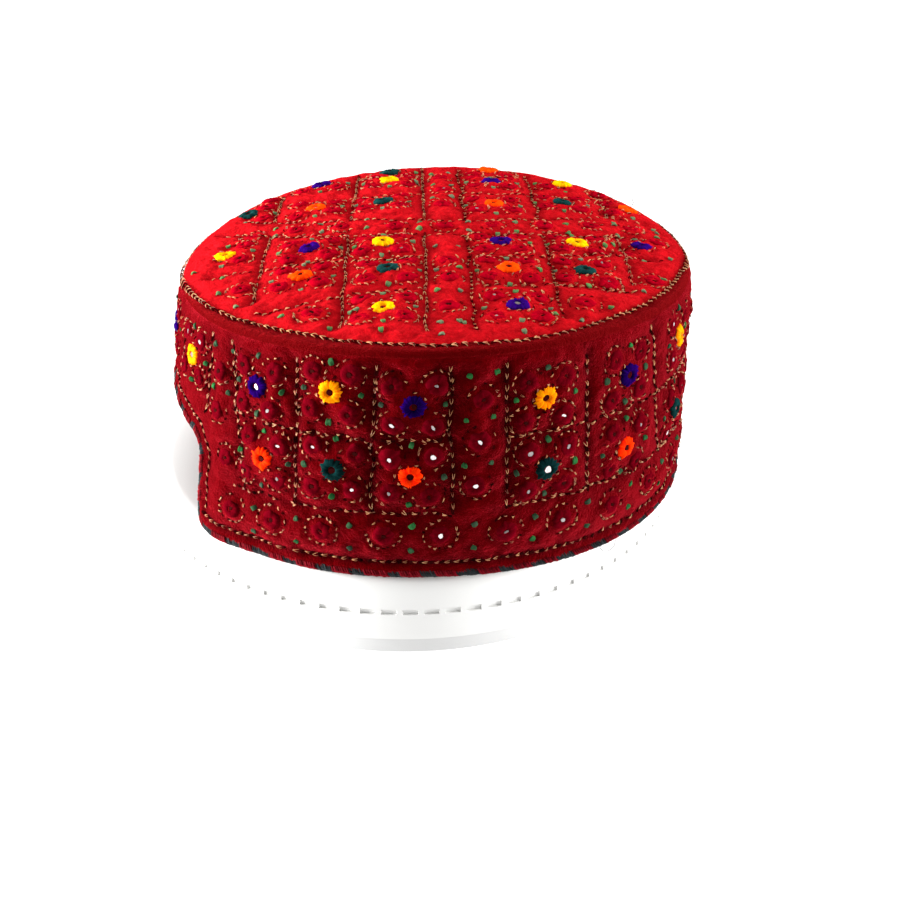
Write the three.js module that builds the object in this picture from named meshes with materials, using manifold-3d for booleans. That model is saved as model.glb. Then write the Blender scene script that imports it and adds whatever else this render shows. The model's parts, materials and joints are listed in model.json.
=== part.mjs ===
// An embroidered Balochi cap resting on a round white stand.
// Millimetres, +Z up. The origin is the centre of the stand's underside, the cap's
// notched front faces -Y and its sides face -X and +X.
import * as THREE from 'three';
import { mergeVertices } from 'three/addons/utils/BufferGeometryUtils.js';
import Module from 'manifold-3d';

const wasm = await Module();
wasm.setup();

// Stand: a turned plinth with a shadow groove round its skirt and a set-back foot.
const stand = {
  height: 30,
  topRadius: 92.5,
  shoulderRadius: 94.9,
  shoulderDrop: 1.4, // below the top
  upperRadius: 96.2,
  upperDrop: 5,
  skirtRadius: 97,
  skirtFlare: 0.4, // the skirt stands out by this much just under the groove
  grooveDepth: 2,
  grooveHeight: 2.2,
  grooveMiddle: 17.7,
  footRadius: 94.5,
  footHeight: 7,
  footEdge: 0.6,
};

// Cap: an oval drum, a little wider at the hem than at the crown.
const crownOval = { halfX: 94, halfY: 87.9, centreY: 9.8, power: 2 };
const hemOval = { halfX: 96.2, halfY: 92.6, centreY: 5.3, power: 2.19 };
const capHeight = 76.3; // hem to rim at the sides
const rimDroop = 4.95; // the rim falls this much towards the front and the back
const rimTilt = 1.1; // and stands this much higher at the back than the middle
const crownRise = 5.1; // the crown's middle above its rim
const wallBulge = 1;
const hemFlare = { angle: 45, width: 7, reach: 2.6, height: 34 }; // the notch's feet stand out
const wallThickness = 3;
const wallLevels = [18, 36, 54]; // rings between the hem and the crown that carry the bulge
const crownThickness = 3;
const crownEdgeRadius = 2.2;
const crownEdgeTurns = [0, 30, 60, 90]; // steps of the rolled edge, in degrees
const crownRings = [0.35, 0.65, 0.85]; // rings that carry the dome, as shares of the radius
const gap = 0.3; // between pieces that touch

// Edge cord: thread overcast round the hem and up round the notch.
const cordRadius = 1.1;
const cordSides = 6;
const cordSteps = 180;
const cordClear = 0.55; // to the cloth's cut edge, so that its short straight steps clear the corners

// Notch: a wide low arch cut out of the front, measured along the cloth.
const notch = {
  halfWidth: 63.5,
  sideHeight: 35,
  middleHeight: 40,
  topCorner: 10,
  hemCorner: 4,
  curveRadius: 94, // the cloth's length is measured at this distance from the middle
  cutBelow: -6, // the cut reaches from here, under the hem
  cutInside: 37, // and this deep behind the outer face
  cutOutside: 53, // and this far in front of it
  cornerSteps: 8,
};

// Rosettes: buttonhole-stitched rings, eight-sided, dished in the middle.
const rosette = { radius: 3.9, height: 1.2, lip: 0.8, well: 0.3, sides: 8 };
const rosetteClear = 0.1; // over the gap, so that the flat back clears the curve of the cloth

const segments = 72; // round the stand and the cap

const threads = {
  yellow: new THREE.MeshStandardMaterial({ color: 0xffbe00, roughness: 0.75, metalness: 0 }),
  green: new THREE.MeshStandardMaterial({ color: 0x14463c, roughness: 0.75, metalness: 0 }),
  navy: new THREE.MeshStandardMaterial({ color: 0x320a78, roughness: 0.75, metalness: 0 }),
  orange: new THREE.MeshStandardMaterial({ color: 0xff4b00, roughness: 0.75, metalness: 0 }),
};

// Crown rosettes, each at x towards the right side and y behind the crown's middle.
const crownRosettes = [
  { x: 65, y: -17, thread: 'yellow' },
  { x: 66, y: 24, thread: 'navy' },
  { x: 36, y: -44, thread: 'orange' },
  { x: 37, y: -16, thread: 'green' },
  { x: 38, y: 23, thread: 'orange' },
  { x: 36, y: 48, thread: 'green' },
  { x: 4, y: -73, thread: 'yellow' },
  { x: 12, y: -43, thread: 'navy' },
  { x: 13, y: -18, thread: 'yellow' },
  { x: 14, y: 22, thread: 'navy' },
  { x: 11, y: 48, thread: 'yellow' },
  { x: 7, y: 71, thread: 'navy' },
  { x: -42, y: -70, thread: 'green' },
  { x: -36, y: -44, thread: 'orange' },
  { x: -35, y: -19, thread: 'green' },
  { x: -28, y: 22, thread: 'orange' },
  { x: -36, y: 48, thread: 'green' },
  { x: -37, y: 73, thread: 'orange' },
  { x: -70, y: -44, thread: 'navy' },
  { x: -67, y: -17, thread: 'yellow' },
  { x: -62, y: 23, thread: 'navy' },
  { x: -65, y: 51, thread: 'yellow' },
  { x: -84, y: -17, thread: 'green' },
  { x: -84, y: 23, thread: 'orange' },
];

// Wall rosettes of one side, each by its angle from the front and its height above the hem.
// Both sides have the same ones.
const wallRosettes = [
  { row: 'front_1', angle: 10.5, height: 59.4, thread: 'navy' },
  { row: 'front_2', angle: 31, height: 59.4, thread: 'yellow' },
  { row: 'upper_1', angle: 54.2, height: 59.6, thread: 'navy' },
  { row: 'lower_1', angle: 56.3, height: 35.8, thread: 'orange' },
  { row: 'upper_2', angle: 70.3, height: 62.3, thread: 'yellow' },
  { row: 'lower_2', angle: 71.3, height: 37.2, thread: 'green' },
  { row: 'upper_3', angle: 85.6, height: 59.2, thread: 'navy' },
  { row: 'lower_3', angle: 85.6, height: 36.3, thread: 'orange' },
  { row: 'upper_4', angle: 109.8, height: 58.6, thread: 'yellow' },
  { row: 'lower_4', angle: 110.8, height: 35.3, thread: 'green' },
  { row: 'upper_5', angle: 129, height: 59.1, thread: 'navy' },
  { row: 'lower_5', angle: 129.2, height: 34.1, thread: 'orange' },
  { row: 'upper_6', angle: 150.2, height: 61.2, thread: 'yellow' },
  { row: 'lower_6', angle: 149.6, height: 34.8, thread: 'green' },
];

// Distance from an oval's centre to its line, at an angle from the front.
function ovalRadius(angle, halfX, halfY, power) {
  const x = Math.abs(Math.sin(angle) / halfX) ** power;
  const y = Math.abs(Math.cos(angle) / halfY) ** power;
  return (x + y) ** (-1 / power);
}

// Height of the crown's upper face over the hem, at a place measured from the crown's middle.
function crownHeight(x, y) {
  const across = (x / crownOval.halfX) ** 2;
  const along = (y / crownOval.halfY) ** 2;
  const dome = crownRise * Math.max(0, 1 - across - along);
  return capHeight - rimDroop * along + (rimTilt * y) / crownOval.halfY + dome;
}

// A point of the upright wall: angle from the front, depth in from its outer face, and height
// over the hem as it is at the sides.
function wallPoint(angle, depth, height) {
  const rim = ovalRadius(angle, crownOval.halfX, crownOval.halfY, crownOval.power);
  const droop = crownHeight(rim * Math.sin(angle), -rim * Math.cos(angle)) - capHeight;
  const up = height / capHeight;
  const halfX = THREE.MathUtils.lerp(hemOval.halfX, crownOval.halfX, up);
  const halfY = THREE.MathUtils.lerp(hemOval.halfY, crownOval.halfY, up);
  const power = THREE.MathUtils.lerp(hemOval.power, crownOval.power, up);
  const centreY = THREE.MathUtils.lerp(hemOval.centreY, crownOval.centreY, up);
  const bulge = wallBulge * Math.sin(Math.PI * THREE.MathUtils.clamp(up, 0, 1));
  const fromFront = THREE.MathUtils.radToDeg(Math.acos(Math.cos(angle))); // the same on both sides
  const fromFoot = (fromFront - hemFlare.angle) / hemFlare.width;
  const low = THREE.MathUtils.clamp(1 - height / hemFlare.height, 0, 1);
  const flare = hemFlare.reach * Math.exp(-(fromFoot ** 2)) * low;
  const radius = ovalRadius(angle, halfX, halfY, power) + bulge + flare - depth;
  const share = Math.min(1, height / (capHeight - crownThickness - 1));
  return new THREE.Vector3(
    radius * Math.sin(angle),
    centreY - radius * Math.cos(angle),
    stand.height + gap + height + droop * share,
  );
}

// A point of the crown's upper face.
function crownPoint(x, y) {
  return new THREE.Vector3(x, crownOval.centreY + y, stand.height + gap + crownHeight(x, y));
}

// Outward direction of a surface at(u, v), from two short steps along it.
function normalOf(at, u, v, stepU, stepV) {
  const alongU = at(u + stepU, v).sub(at(u - stepU, v));
  const alongV = at(u, v + stepV).sub(at(u, v - stepV));
  return alongU.cross(alongV).normalize();
}

// Turns a profile of [radius, height] points about +Z, starting from the front.
function turned(profile, sides) {
  const points = profile.map(([radius, height]) => new THREE.Vector2(radius, height));
  const geometry = new THREE.LatheGeometry(points, sides);
  geometry.rotateX(Math.PI / 2);
  return geometry;
}

// Moves every vertex of a geometry to where place(x, y, z) says.
function reshaped(geometry, place) {
  const position = geometry.getAttribute('position');
  for (let i = 0; i < position.count; i += 1) {
    const moved = place(position.getX(i), position.getY(i), position.getZ(i));
    position.setXYZ(i, moved.x, moved.y, moved.z);
  }
  geometry.computeVertexNormals();
  return geometry;
}

// A closed mesh as a solid that can be cut.
function solidFrom(geometry) {
  const bare = geometry.clone();
  bare.deleteAttribute('normal');
  bare.deleteAttribute('uv');
  const merged = mergeVertices(bare, 1e-4);
  return new wasm.Manifold(new wasm.Mesh({
    numProp: 3,
    vertProperties: merged.getAttribute('position').array,
    triVerts: new Uint32Array(merged.index.array),
  }));
}

function geometryFrom(solid) {
  const mesh = solid.getMesh();
  const geometry = new THREE.BufferGeometry();
  geometry.setAttribute('position', new THREE.BufferAttribute(mesh.vertProperties, 3));
  geometry.setIndex(new THREE.BufferAttribute(mesh.triVerts, 1));
  geometry.computeVertexNormals();
  return geometry;
}

function makeStand() {
  const { height, topRadius, skirtRadius, footRadius, footHeight, footEdge } = stand;
  const grooveRadius = skirtRadius - stand.grooveDepth;
  const grooveLow = stand.grooveMiddle - stand.grooveHeight / 2;
  const grooveHigh = stand.grooveMiddle + stand.grooveHeight / 2;
  const profile = [
    [0, 0],
    [footRadius - footEdge, 0],
    [footRadius, footEdge],
    [footRadius, footHeight],
    [skirtRadius, footHeight],
    [skirtRadius + stand.skirtFlare, grooveLow],
    [grooveRadius, grooveLow],
    [grooveRadius, grooveHigh],
    [skirtRadius, grooveHigh],
    [stand.upperRadius, height - stand.upperDrop],
    [stand.shoulderRadius, height - stand.shoulderDrop],
    [topRadius, height],
    [0, height],
  ];
  return turned(profile, segments);
}

// The crown is turned as a round panel with a rolled edge, then laid over the oval.
function makeCrown() {
  const nominal = crownOval.halfX;
  const profile = [[0, -crownThickness]];
  for (const share of crownRings) {
    profile.push([nominal * share, -crownThickness]);
  }
  profile.push([nominal, -crownThickness]);
  for (const turn of crownEdgeTurns) {
    const angle = THREE.MathUtils.degToRad(turn);
    profile.push([
      nominal - crownEdgeRadius * (1 - Math.cos(angle)),
      -crownEdgeRadius * (1 - Math.sin(angle)),
    ]);
  }
  for (const share of crownRings.toReversed()) {
    profile.push([nominal * share, 0]);
  }
  profile.push([0, 0]);
  return reshaped(turned(profile, segments), (x, y, z) => {
    const share = Math.hypot(x, y) / nominal;
    const angle = Math.atan2(x, -y);
    const radius = share * ovalRadius(angle, crownOval.halfX, crownOval.halfY, crownOval.power);
    const point = crownPoint(radius * Math.sin(angle), -radius * Math.cos(angle));
    point.z += z;
    return point;
  });
}

// Lower edge of the wall laid out flat, x along the cloth from the front and y above the hem,
// moved out of the cloth by offset. It runs from one side of the notch to the other.
function notchLine(path, hem, offset) {
  const { halfWidth, sideHeight, middleHeight, topCorner, hemCorner } = notch;
  const side = halfWidth - offset;
  const flare = hemCorner + offset;
  const turn = topCorner - offset;
  const shoulder = sideHeight - offset - turn;
  const lift = 2 * (middleHeight - sideHeight);
  path.absarc(-halfWidth - hemCorner, hem + hemCorner, flare, -Math.PI / 2, 0, false);
  path.lineTo(-side, shoulder);
  path.absarc(-side + turn, shoulder, turn, Math.PI, Math.PI / 2, true);
  path.quadraticCurveTo(0, sideHeight - offset + lift, side - turn, sideHeight - offset);
  path.absarc(side - turn, shoulder, turn, Math.PI / 2, 0, true);
  path.lineTo(side, hem + hemCorner);
  path.absarc(halfWidth + hemCorner, hem + hemCorner, flare, Math.PI, 1.5 * Math.PI, false);
}

// Height of the wall's cut edge, just over the cord.
const hemEdge = 2 * cordRadius + cordClear;

function notchCutter() {
  const reach = notch.halfWidth + notch.hemCorner;
  const shape = new THREE.Shape();
  shape.moveTo(-reach, notch.cutBelow);
  shape.lineTo(-reach, hemEdge);
  notchLine(shape, hemEdge, 0);
  shape.lineTo(reach, notch.cutBelow);
  const block = new THREE.ExtrudeGeometry(shape, {
    depth: notch.cutInside + notch.cutOutside,
    steps: 1,
    bevelEnabled: false,
    curveSegments: notch.cornerSteps,
  });
  return reshaped(block, (x, y, z) => (
    wallPoint(x / notch.curveRadius, notch.cutInside - z, y)
  ));
}

// The wall is turned as a straight drum, shaped to the cap's ovals, and the notch is cut out.
function makeSideBand() {
  const nominal = hemOval.halfX;
  const top = capHeight - crownThickness - gap;
  const levels = [hemEdge, ...wallLevels, top];
  const profile = [
    ...levels.map((height) => [nominal, height]),
    ...levels.toReversed().map((height) => [nominal - wallThickness, height]),
    [nominal, hemEdge],
  ];
  const drum = reshaped(turned(profile, segments), (x, y, z) => {
    const angle = Math.atan2(x, -y);
    return wallPoint(angle, nominal - Math.hypot(x, y), z);
  });
  return geometryFrom(solidFrom(drum).subtract(solidFrom(notchCutter())));
}

// One closed loop: along the hem round the back, then up, over and down the notch.
function makeEdgeCord() {
  const offset = cordRadius + cordClear;
  const path = new THREE.Path();
  const hem = hemEdge;
  const reach = notch.halfWidth + notch.hemCorner;
  path.moveTo(reach - 2 * Math.PI * notch.curveRadius, hem - offset);
  path.lineTo(-reach, hem - offset);
  notchLine(path, hem, offset);
  const flat = path.getSpacedPoints(cordSteps).slice(0, cordSteps);
  const centre = (u, v) => wallPoint(u / notch.curveRadius, wallThickness / 2, v);
  const middles = flat.map((point) => centre(point.x, point.y));
  const positions = [];
  const index = [];
  flat.forEach((point, step) => {
    const next = middles[(step + 1) % cordSteps];
    const last = middles[(step - 1 + cordSteps) % cordSteps];
    const along = next.clone().sub(last).normalize();
    const out = normalOf(centre, point.x, point.y, 1, 1);
    const across = along.clone().cross(out).normalize();
    for (let side = 0; side < cordSides; side += 1) {
      const turn = (2 * Math.PI * side) / cordSides;
      const corner = middles[step].clone();
      corner.addScaledVector(out, cordRadius * Math.cos(turn));
      corner.addScaledVector(across, cordRadius * Math.sin(turn));
      positions.push(corner.x, corner.y, corner.z);
      const here = step * cordSides + side;
      const beside = step * cordSides + ((side + 1) % cordSides);
      const ahead = ((step + 1) % cordSteps) * cordSides + side;
      const cross = ((step + 1) % cordSteps) * cordSides + ((side + 1) % cordSides);
      index.push(here, cross, ahead, here, beside, cross);
    }
  });
  const geometry = new THREE.BufferGeometry();
  geometry.setAttribute('position', new THREE.Float32BufferAttribute(positions, 3));
  geometry.setIndex(index);
  geometry.computeVertexNormals();
  return geometry;
}

function makeRosette() {
  const { radius, height, lip, well, sides } = rosette;
  const profile = [
    [0, 0],
    [radius, 0],
    [radius, height / 2],
    [radius * lip, height],
    [radius * well, height],
    [radius * well, height / 3],
    [0, height / 3],
  ];
  return turned(profile, sides);
}

const cap = new THREE.Group();

function add(name, geometry, material) {
  const mesh = new THREE.Mesh(geometry, material);
  mesh.name = name;
  cap.add(mesh);
  return mesh;
}

// Sits a rosette on the cloth at a point, facing along the cloth's normal.
function addRosette(name, thread, point, normal) {
  const mesh = add(name, makeRosette(), threads[thread]);
  mesh.position.copy(point).addScaledVector(normal, gap + rosetteClear);
  mesh.quaternion.setFromUnitVectors(new THREE.Vector3(0, 0, 1), normal);
}

function addWallRosette(name, thread, degrees, height) {
  const angle = THREE.MathUtils.degToRad(degrees);
  const outer = (u, v) => wallPoint(u, 0, v);
  addRosette(name, thread, outer(angle, height), normalOf(outer, angle, height, 0.02, 2));
}

const cloth = { roughness: 0.95, metalness: 0 };
add('stand', makeStand(), new THREE.MeshStandardMaterial({
  color: 0xf4f3f1, roughness: 0.45, metalness: 0,
}));
add('side_band', makeSideBand(), new THREE.MeshStandardMaterial({ color: 0x9c0a18, ...cloth }));
add('crown', makeCrown(), new THREE.MeshStandardMaterial({ color: 0xc80f1e, ...cloth }));
add('edge_cord', makeEdgeCord(), new THREE.MeshStandardMaterial({
  color: 0x1c2c2a, roughness: 0.85, metalness: 0,
}));

crownRosettes.forEach(({ x, y, thread }, i) => {
  const normal = normalOf(crownPoint, x, y, 2, 2);
  addRosette(`crown_rosette_${i + 1}`, thread, crownPoint(x, y), normal);
});

for (const [side, sign] of [['right', 1], ['left', -1]]) {
  for (const { row, angle, height, thread } of wallRosettes) {
    addWallRosette(`${side}_rosette_${row}`, thread, sign * angle, height);
  }
}

export default cap;
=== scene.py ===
import json
import math
import bpy
import numpy as np
from mathutils import Matrix, Vector


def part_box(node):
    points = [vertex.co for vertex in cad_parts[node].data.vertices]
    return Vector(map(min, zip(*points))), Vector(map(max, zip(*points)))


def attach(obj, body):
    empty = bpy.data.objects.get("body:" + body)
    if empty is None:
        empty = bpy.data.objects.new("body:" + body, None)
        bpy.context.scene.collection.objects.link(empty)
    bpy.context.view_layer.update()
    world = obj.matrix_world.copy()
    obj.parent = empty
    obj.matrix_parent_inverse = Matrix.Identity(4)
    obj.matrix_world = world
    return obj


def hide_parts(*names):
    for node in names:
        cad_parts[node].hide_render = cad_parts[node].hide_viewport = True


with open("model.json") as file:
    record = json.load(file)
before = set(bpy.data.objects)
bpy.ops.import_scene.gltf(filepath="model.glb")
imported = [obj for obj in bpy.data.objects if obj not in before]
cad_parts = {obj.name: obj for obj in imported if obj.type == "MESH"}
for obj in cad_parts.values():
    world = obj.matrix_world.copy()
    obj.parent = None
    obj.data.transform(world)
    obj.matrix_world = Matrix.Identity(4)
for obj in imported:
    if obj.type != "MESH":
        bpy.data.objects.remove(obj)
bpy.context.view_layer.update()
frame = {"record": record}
metre = 0.001  # sizes below are millimetres, and a mesh is made in metres
hand = np.random.default_rng(11)  # the unevenness of work done by hand


def boxOf(node):
    low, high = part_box(node)
    return np.array(low) / metre, np.array(high) / metre


# Form of the cap, the same ovals as the solids

crownLow, crownHigh = boxOf("crown")
_, standHigh = boxOf("stand")
capForm = {
    "crownHalf": (crownHigh - crownLow)[:2] / 2,
    "crownCentreY": (crownHigh + crownLow)[1] / 2,
    "hemHalf": np.array([96.2, 92.6]),
    "hemCentreY": 5.3,
    "hemPower": 2.19,
    "hemHeight": standHigh[2] + 0.3,
    "height": 76.3,
    "rimDroop": 4.95,
    "rimTilt": 1.1,
    "droopEnd": 4.0,  # the wall droops with the rim up to this far below it
    "crownRise": 5.1,
    "bulge": 1.0,
    "footAngle": 45.0,  # the notch's feet stand out here
    "footWidth": 7.0,
    "footFlare": 2.6,
    "footHeight": 34.0,
    "crownThickness": 3.0,
    "edgeRadius": 2.2,  # of the crown's rolled edge
    "wallThickness": 3.0,
    "aroundRadius": 94.0,  # turns a length along the wall into an angle
}
notchForm = {
    "halfWidth": 63.5,
    "sideHeight": 35.0,
    "middleHeight": 40.0,
    "topCorner": 10.0,
    "hemCorner": 4.0,
    "hemEdge": 2.75,  # the cut edge of the cloth over the hem
}
fullRound = 2 * math.pi * capForm["aroundRadius"]
perDegree = fullRound / 360


def ovalRadius(angle, half, power):
    across = np.abs(np.sin(angle) / half[0]) ** power
    return (across + np.abs(np.cos(angle) / half[1]) ** power) ** (-1 / power)


def crownHeight(x, y):
    across = (x / capForm["crownHalf"][0]) ** 2
    along = (y / capForm["crownHalf"][1]) ** 2
    dome = capForm["crownRise"] * np.maximum(0, 1 - across - along)
    tilt = capForm["rimTilt"] * y / capForm["crownHalf"][1]
    return capForm["height"] - capForm["rimDroop"] * along + tilt + dome


def crownPoint(x, y, rolled=True):
    z = capForm["hemHeight"] + crownHeight(x, y)
    if rolled:  # the edge turns down towards the wall
        roll = capForm["edgeRadius"]
        share = np.hypot(x / capForm["crownHalf"][0], y / capForm["crownHalf"][1])
        over = np.clip(1 - (1 - share) * capForm["crownHalf"][0] / roll, 0, 1)
        z = z - roll * (1 - np.sqrt(1 - over ** 2))
    return np.stack([x, y + capForm["crownCentreY"], z], -1)


def wallPoint(along, height):
    angle = along / capForm["aroundRadius"]
    rim = ovalRadius(angle, capForm["crownHalf"], 2.0)
    droop = crownHeight(rim * np.sin(angle), -rim * np.cos(angle)) - capForm["height"]
    up = height / capForm["height"]
    half = [low + (high - low) * up for low, high in zip(capForm["hemHalf"], capForm["crownHalf"])]
    power = capForm["hemPower"] + (2.0 - capForm["hemPower"]) * up
    centreY = capForm["hemCentreY"] + (capForm["crownCentreY"] - capForm["hemCentreY"]) * up
    bulge = capForm["bulge"] * np.sin(math.pi * np.clip(up, 0, 1))
    fromFoot = (np.degrees(np.arccos(np.cos(angle))) - capForm["footAngle"]) / capForm["footWidth"]
    flare = capForm["footFlare"] * np.exp(-fromFoot ** 2) * np.clip(1 - height / capForm["footHeight"], 0, 1)
    radius = ovalRadius(angle, half, power) + bulge + flare
    share = np.minimum(1, height / (capForm["height"] - capForm["droopEnd"]))
    z = capForm["hemHeight"] + height + droop * share
    return np.stack([radius * np.sin(angle), centreY - radius * np.cos(angle), z], -1)


cloths = {"crown": crownPoint, "wall": wallPoint}


def clothNormal(cloth, u, v):
    at = cloths[cloth]
    reach = 0.8
    alongU = at(u + reach, v) - at(u - reach, v)
    alongV = at(u, v + reach) - at(u, v - reach)
    normal = np.cross(alongU, alongV)
    return normal / np.linalg.norm(normal, axis=-1, keepdims=True)


# Camera, at the photo's angle to the cap, in millimetres

cameraView = {
    "target": (0.0, 9.0, 31.3),
    "distance": 489.2,
    "elevation": 0.482,  # angles are in radians
    "side": -0.012,
    "pan": 0.011,
    "tilt": -0.014,
    "roll": -0.006,
    "lens": 51.77,
}


def makeCamera():
    elevation, side = cameraView["elevation"], cameraView["side"]
    level = math.cos(elevation)
    away = Vector((math.cos(side) * level, math.sin(side) * level, math.sin(elevation)))
    right = Vector((0, 0, 1)).cross(away).normalized()
    up = away.cross(right)
    look = (-away + cameraView["pan"] * right + cameraView["tilt"] * up).normalized()
    right = look.cross(Vector((0, 0, 1))).normalized()
    up = right.cross(look)
    rollCos, rollSin = math.cos(cameraView["roll"]), math.sin(cameraView["roll"])
    right, up = rollCos * right + rollSin * up, rollCos * up - rollSin * right
    data = bpy.data.cameras.new("photoCamera")
    data.lens = cameraView["lens"]
    data.sensor_width = 36
    data.clip_end = 20
    camera = bpy.data.objects.new("photoCamera", data)
    bpy.context.scene.collection.objects.link(camera)
    place = Matrix((right, up, -look)).transposed().to_4x4()
    place.translation = (Vector(cameraView["target"]) + away * cameraView["distance"]) * metre
    camera.matrix_world = place
    bpy.context.scene.camera = camera


makeCamera()
print("camera set")


# Meshes

def makeMesh(name, points, faceSets, material, sharp=None, **masks):
    points = np.asarray(points, dtype=np.float64).reshape(-1, 3) * metre
    corners = np.concatenate([faces.ravel() for faces in faceSets])
    sizes = np.concatenate([np.full(len(faces), faces.shape[1]) for faces in faceSets])
    starts = np.concatenate([[0], np.cumsum(sizes)[:-1]])
    mesh = bpy.data.meshes.new(name)
    mesh.vertices.add(len(points))
    mesh.vertices.foreach_set("co", points.ravel().astype(np.float32))
    mesh.loops.add(len(corners))
    mesh.loops.foreach_set("vertex_index", corners.astype(np.int32))
    mesh.polygons.add(len(sizes))
    mesh.polygons.foreach_set("loop_start", starts.astype(np.int32))
    mesh.polygons.foreach_set("use_smooth", np.ones(len(sizes), dtype=bool))
    mesh.update(calc_edges=True)
    mesh.validate()
    if sharp is not None:
        mesh.set_sharp_from_angle(angle=math.radians(sharp))
    for mask, values in masks.items():
        layer = mesh.attributes.new(mask, "FLOAT", "POINT")
        layer.data.foreach_set("value", np.asarray(values, dtype=np.float32).ravel())
    mesh.materials.append(material)
    piece = bpy.data.objects.new(name, mesh)
    bpy.context.scene.collection.objects.link(piece)
    return piece


triangleCount = {}


def addPiece(name, slot, nodes, points, faceSets, material, **more):
    piece = makeMesh(name, points, faceSets, material, **more)
    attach(piece, "root")
    if nodes:
        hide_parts(*nodes)
    triangleCount[name] = sum(len(faces) * (faces.shape[1] - 2) for faces in faceSets)
    return piece


def gridFaces(rows, columns, wrapRows=False, wrapColumns=False):
    row, column = np.meshgrid(
        np.arange(rows if wrapRows else rows - 1),
        np.arange(columns if wrapColumns else columns - 1),
        indexing="ij",
    )
    nextRow, nextColumn = (row + 1) % rows, (column + 1) % columns
    corners = [row * columns + column, row * columns + nextColumn]
    corners += [nextRow * columns + nextColumn, nextRow * columns + column]
    return np.stack(corners, -1).reshape(-1, 4)


def copiesOf(faces, count, stride):
    return (faces[None] + np.arange(count)[:, None, None] * stride).reshape(-1, faces.shape[1])


def tubes(middles, ups, radii, sides, flat=1.0):
    # many short threads at once: middles is thread x point x 3
    count, steps = middles.shape[:2]
    tangent = np.gradient(middles, axis=1)
    tangent /= np.linalg.norm(tangent, axis=-1, keepdims=True)
    side = np.cross(tangent, ups)
    side /= np.linalg.norm(side, axis=-1, keepdims=True)
    up = np.cross(side, tangent)
    turn = 2 * math.pi * (np.arange(sides) + 0.5) / sides
    spread = np.cos(turn)[:, None] * side[:, :, None] + flat * np.sin(turn)[:, None] * up[:, :, None]
    points = middles[:, :, None] + np.broadcast_to(radii, (count, steps))[:, :, None, None] * spread
    skin = gridFaces(steps, sides, wrapColumns=True)[:, ::-1]
    firstEnd = np.arange(sides)[None]
    lastEnd = (steps - 1) * sides + np.arange(sides)[None, ::-1]
    stride = steps * sides
    faceSets = [copiesOf(part, count, stride) for part in (skin, firstEnd, lastEnd)]
    return points.reshape(-1, 3), faceSets


def joined(parts):
    # one mesh from several lots of points, faces and tints
    points, faceSets, tints, start = [], [], [], 0
    for partPoints, partFaces, partTint in parts:
        points.append(partPoints)
        faceSets += [faces + start for faces in partFaces]
        tints.append(partTint)
        start += len(partPoints)
    return np.concatenate(points), faceSets, np.concatenate(tints)


# Edge of the wall laid out flat: length along the cloth from the front, and height over the hem

def arcPoints(centreX, centreY, radius, start, end, count=14):
    turn = np.radians(np.linspace(start, end, count))
    return np.stack([centreX + radius * np.cos(turn), centreY + radius * np.sin(turn)], -1)


def notchLine(offset):
    # from one side of the notch to the other, moved out of the cloth by offset
    side = notchForm["halfWidth"] - offset
    flare = notchForm["hemCorner"] + offset
    turn = notchForm["topCorner"] - offset
    shoulder = notchForm["sideHeight"] - notchForm["topCorner"]
    top = notchForm["sideHeight"] - offset
    footX = notchForm["halfWidth"] + notchForm["hemCorner"]
    footY = notchForm["hemEdge"] + notchForm["hemCorner"]
    share = np.linspace(0, 1, 40)[:, None]
    peak = np.array([0, top + 2 * (notchForm["middleHeight"] - notchForm["sideHeight"])])
    left, right = np.array([turn - side, top]), np.array([side - turn, top])
    arch = (1 - share) ** 2 * left + 2 * share * (1 - share) * peak + share ** 2 * right
    return np.concatenate([
        arcPoints(-footX, footY, flare, -90, 0),
        arcPoints(turn - side, shoulder, turn, 180, 90),
        arch[1:-1],
        arcPoints(side - turn, shoulder, turn, 90, 0),
        arcPoints(footX, footY, flare, 180, 270),
    ])


def edgeLoop(offset):
    # the whole edge, hem round the back first, and then the notch
    footX = notchForm["halfWidth"] + notchForm["hemCorner"]
    hem = np.linspace(footX, fullRound - footX, 200)[1:-1]
    hemLine = np.stack([hem, np.full_like(hem, notchForm["hemEdge"] - offset)], -1)
    return np.concatenate([hemLine, notchLine(offset) + [fullRound, 0]])


def evenly(line, pitch, closed=False):
    # places pitch apart on a line, and the direction that it runs in there
    if closed:
        laps = round((line[-1, 0] - line[0, 0]) / fullRound)  # a line round the wall ends a lap on
        line = np.concatenate([line, line[:1] + [laps * fullRound, 0]])
    lengths = np.concatenate([[0], np.cumsum(np.linalg.norm(np.diff(line, axis=0), axis=1))])
    count = max(2, int(round(lengths[-1] / pitch)))
    at = np.arange(count) / count * lengths[-1] if closed else np.linspace(0, lengths[-1], count)
    place = np.stack([np.interp(at, lengths, line[:, axis]) for axis in (0, 1)], -1)
    before = np.stack([np.interp(at - 0.5, lengths, line[:, axis]) for axis in (0, 1)], -1)
    after = np.stack([np.interp(at + 0.5, lengths, line[:, axis]) for axis in (0, 1)], -1)
    return place, np.arctan2(after[:, 1] - before[:, 1], after[:, 0] - before[:, 0])


# Pattern: chains, small ringed circles, knots and rosettes, each on the crown or on the wall.
# On the crown u runs to the near side and v to the back, both from its middle. On the wall u is the
# length along the cloth from the front, and v the height over the hem.

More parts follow.
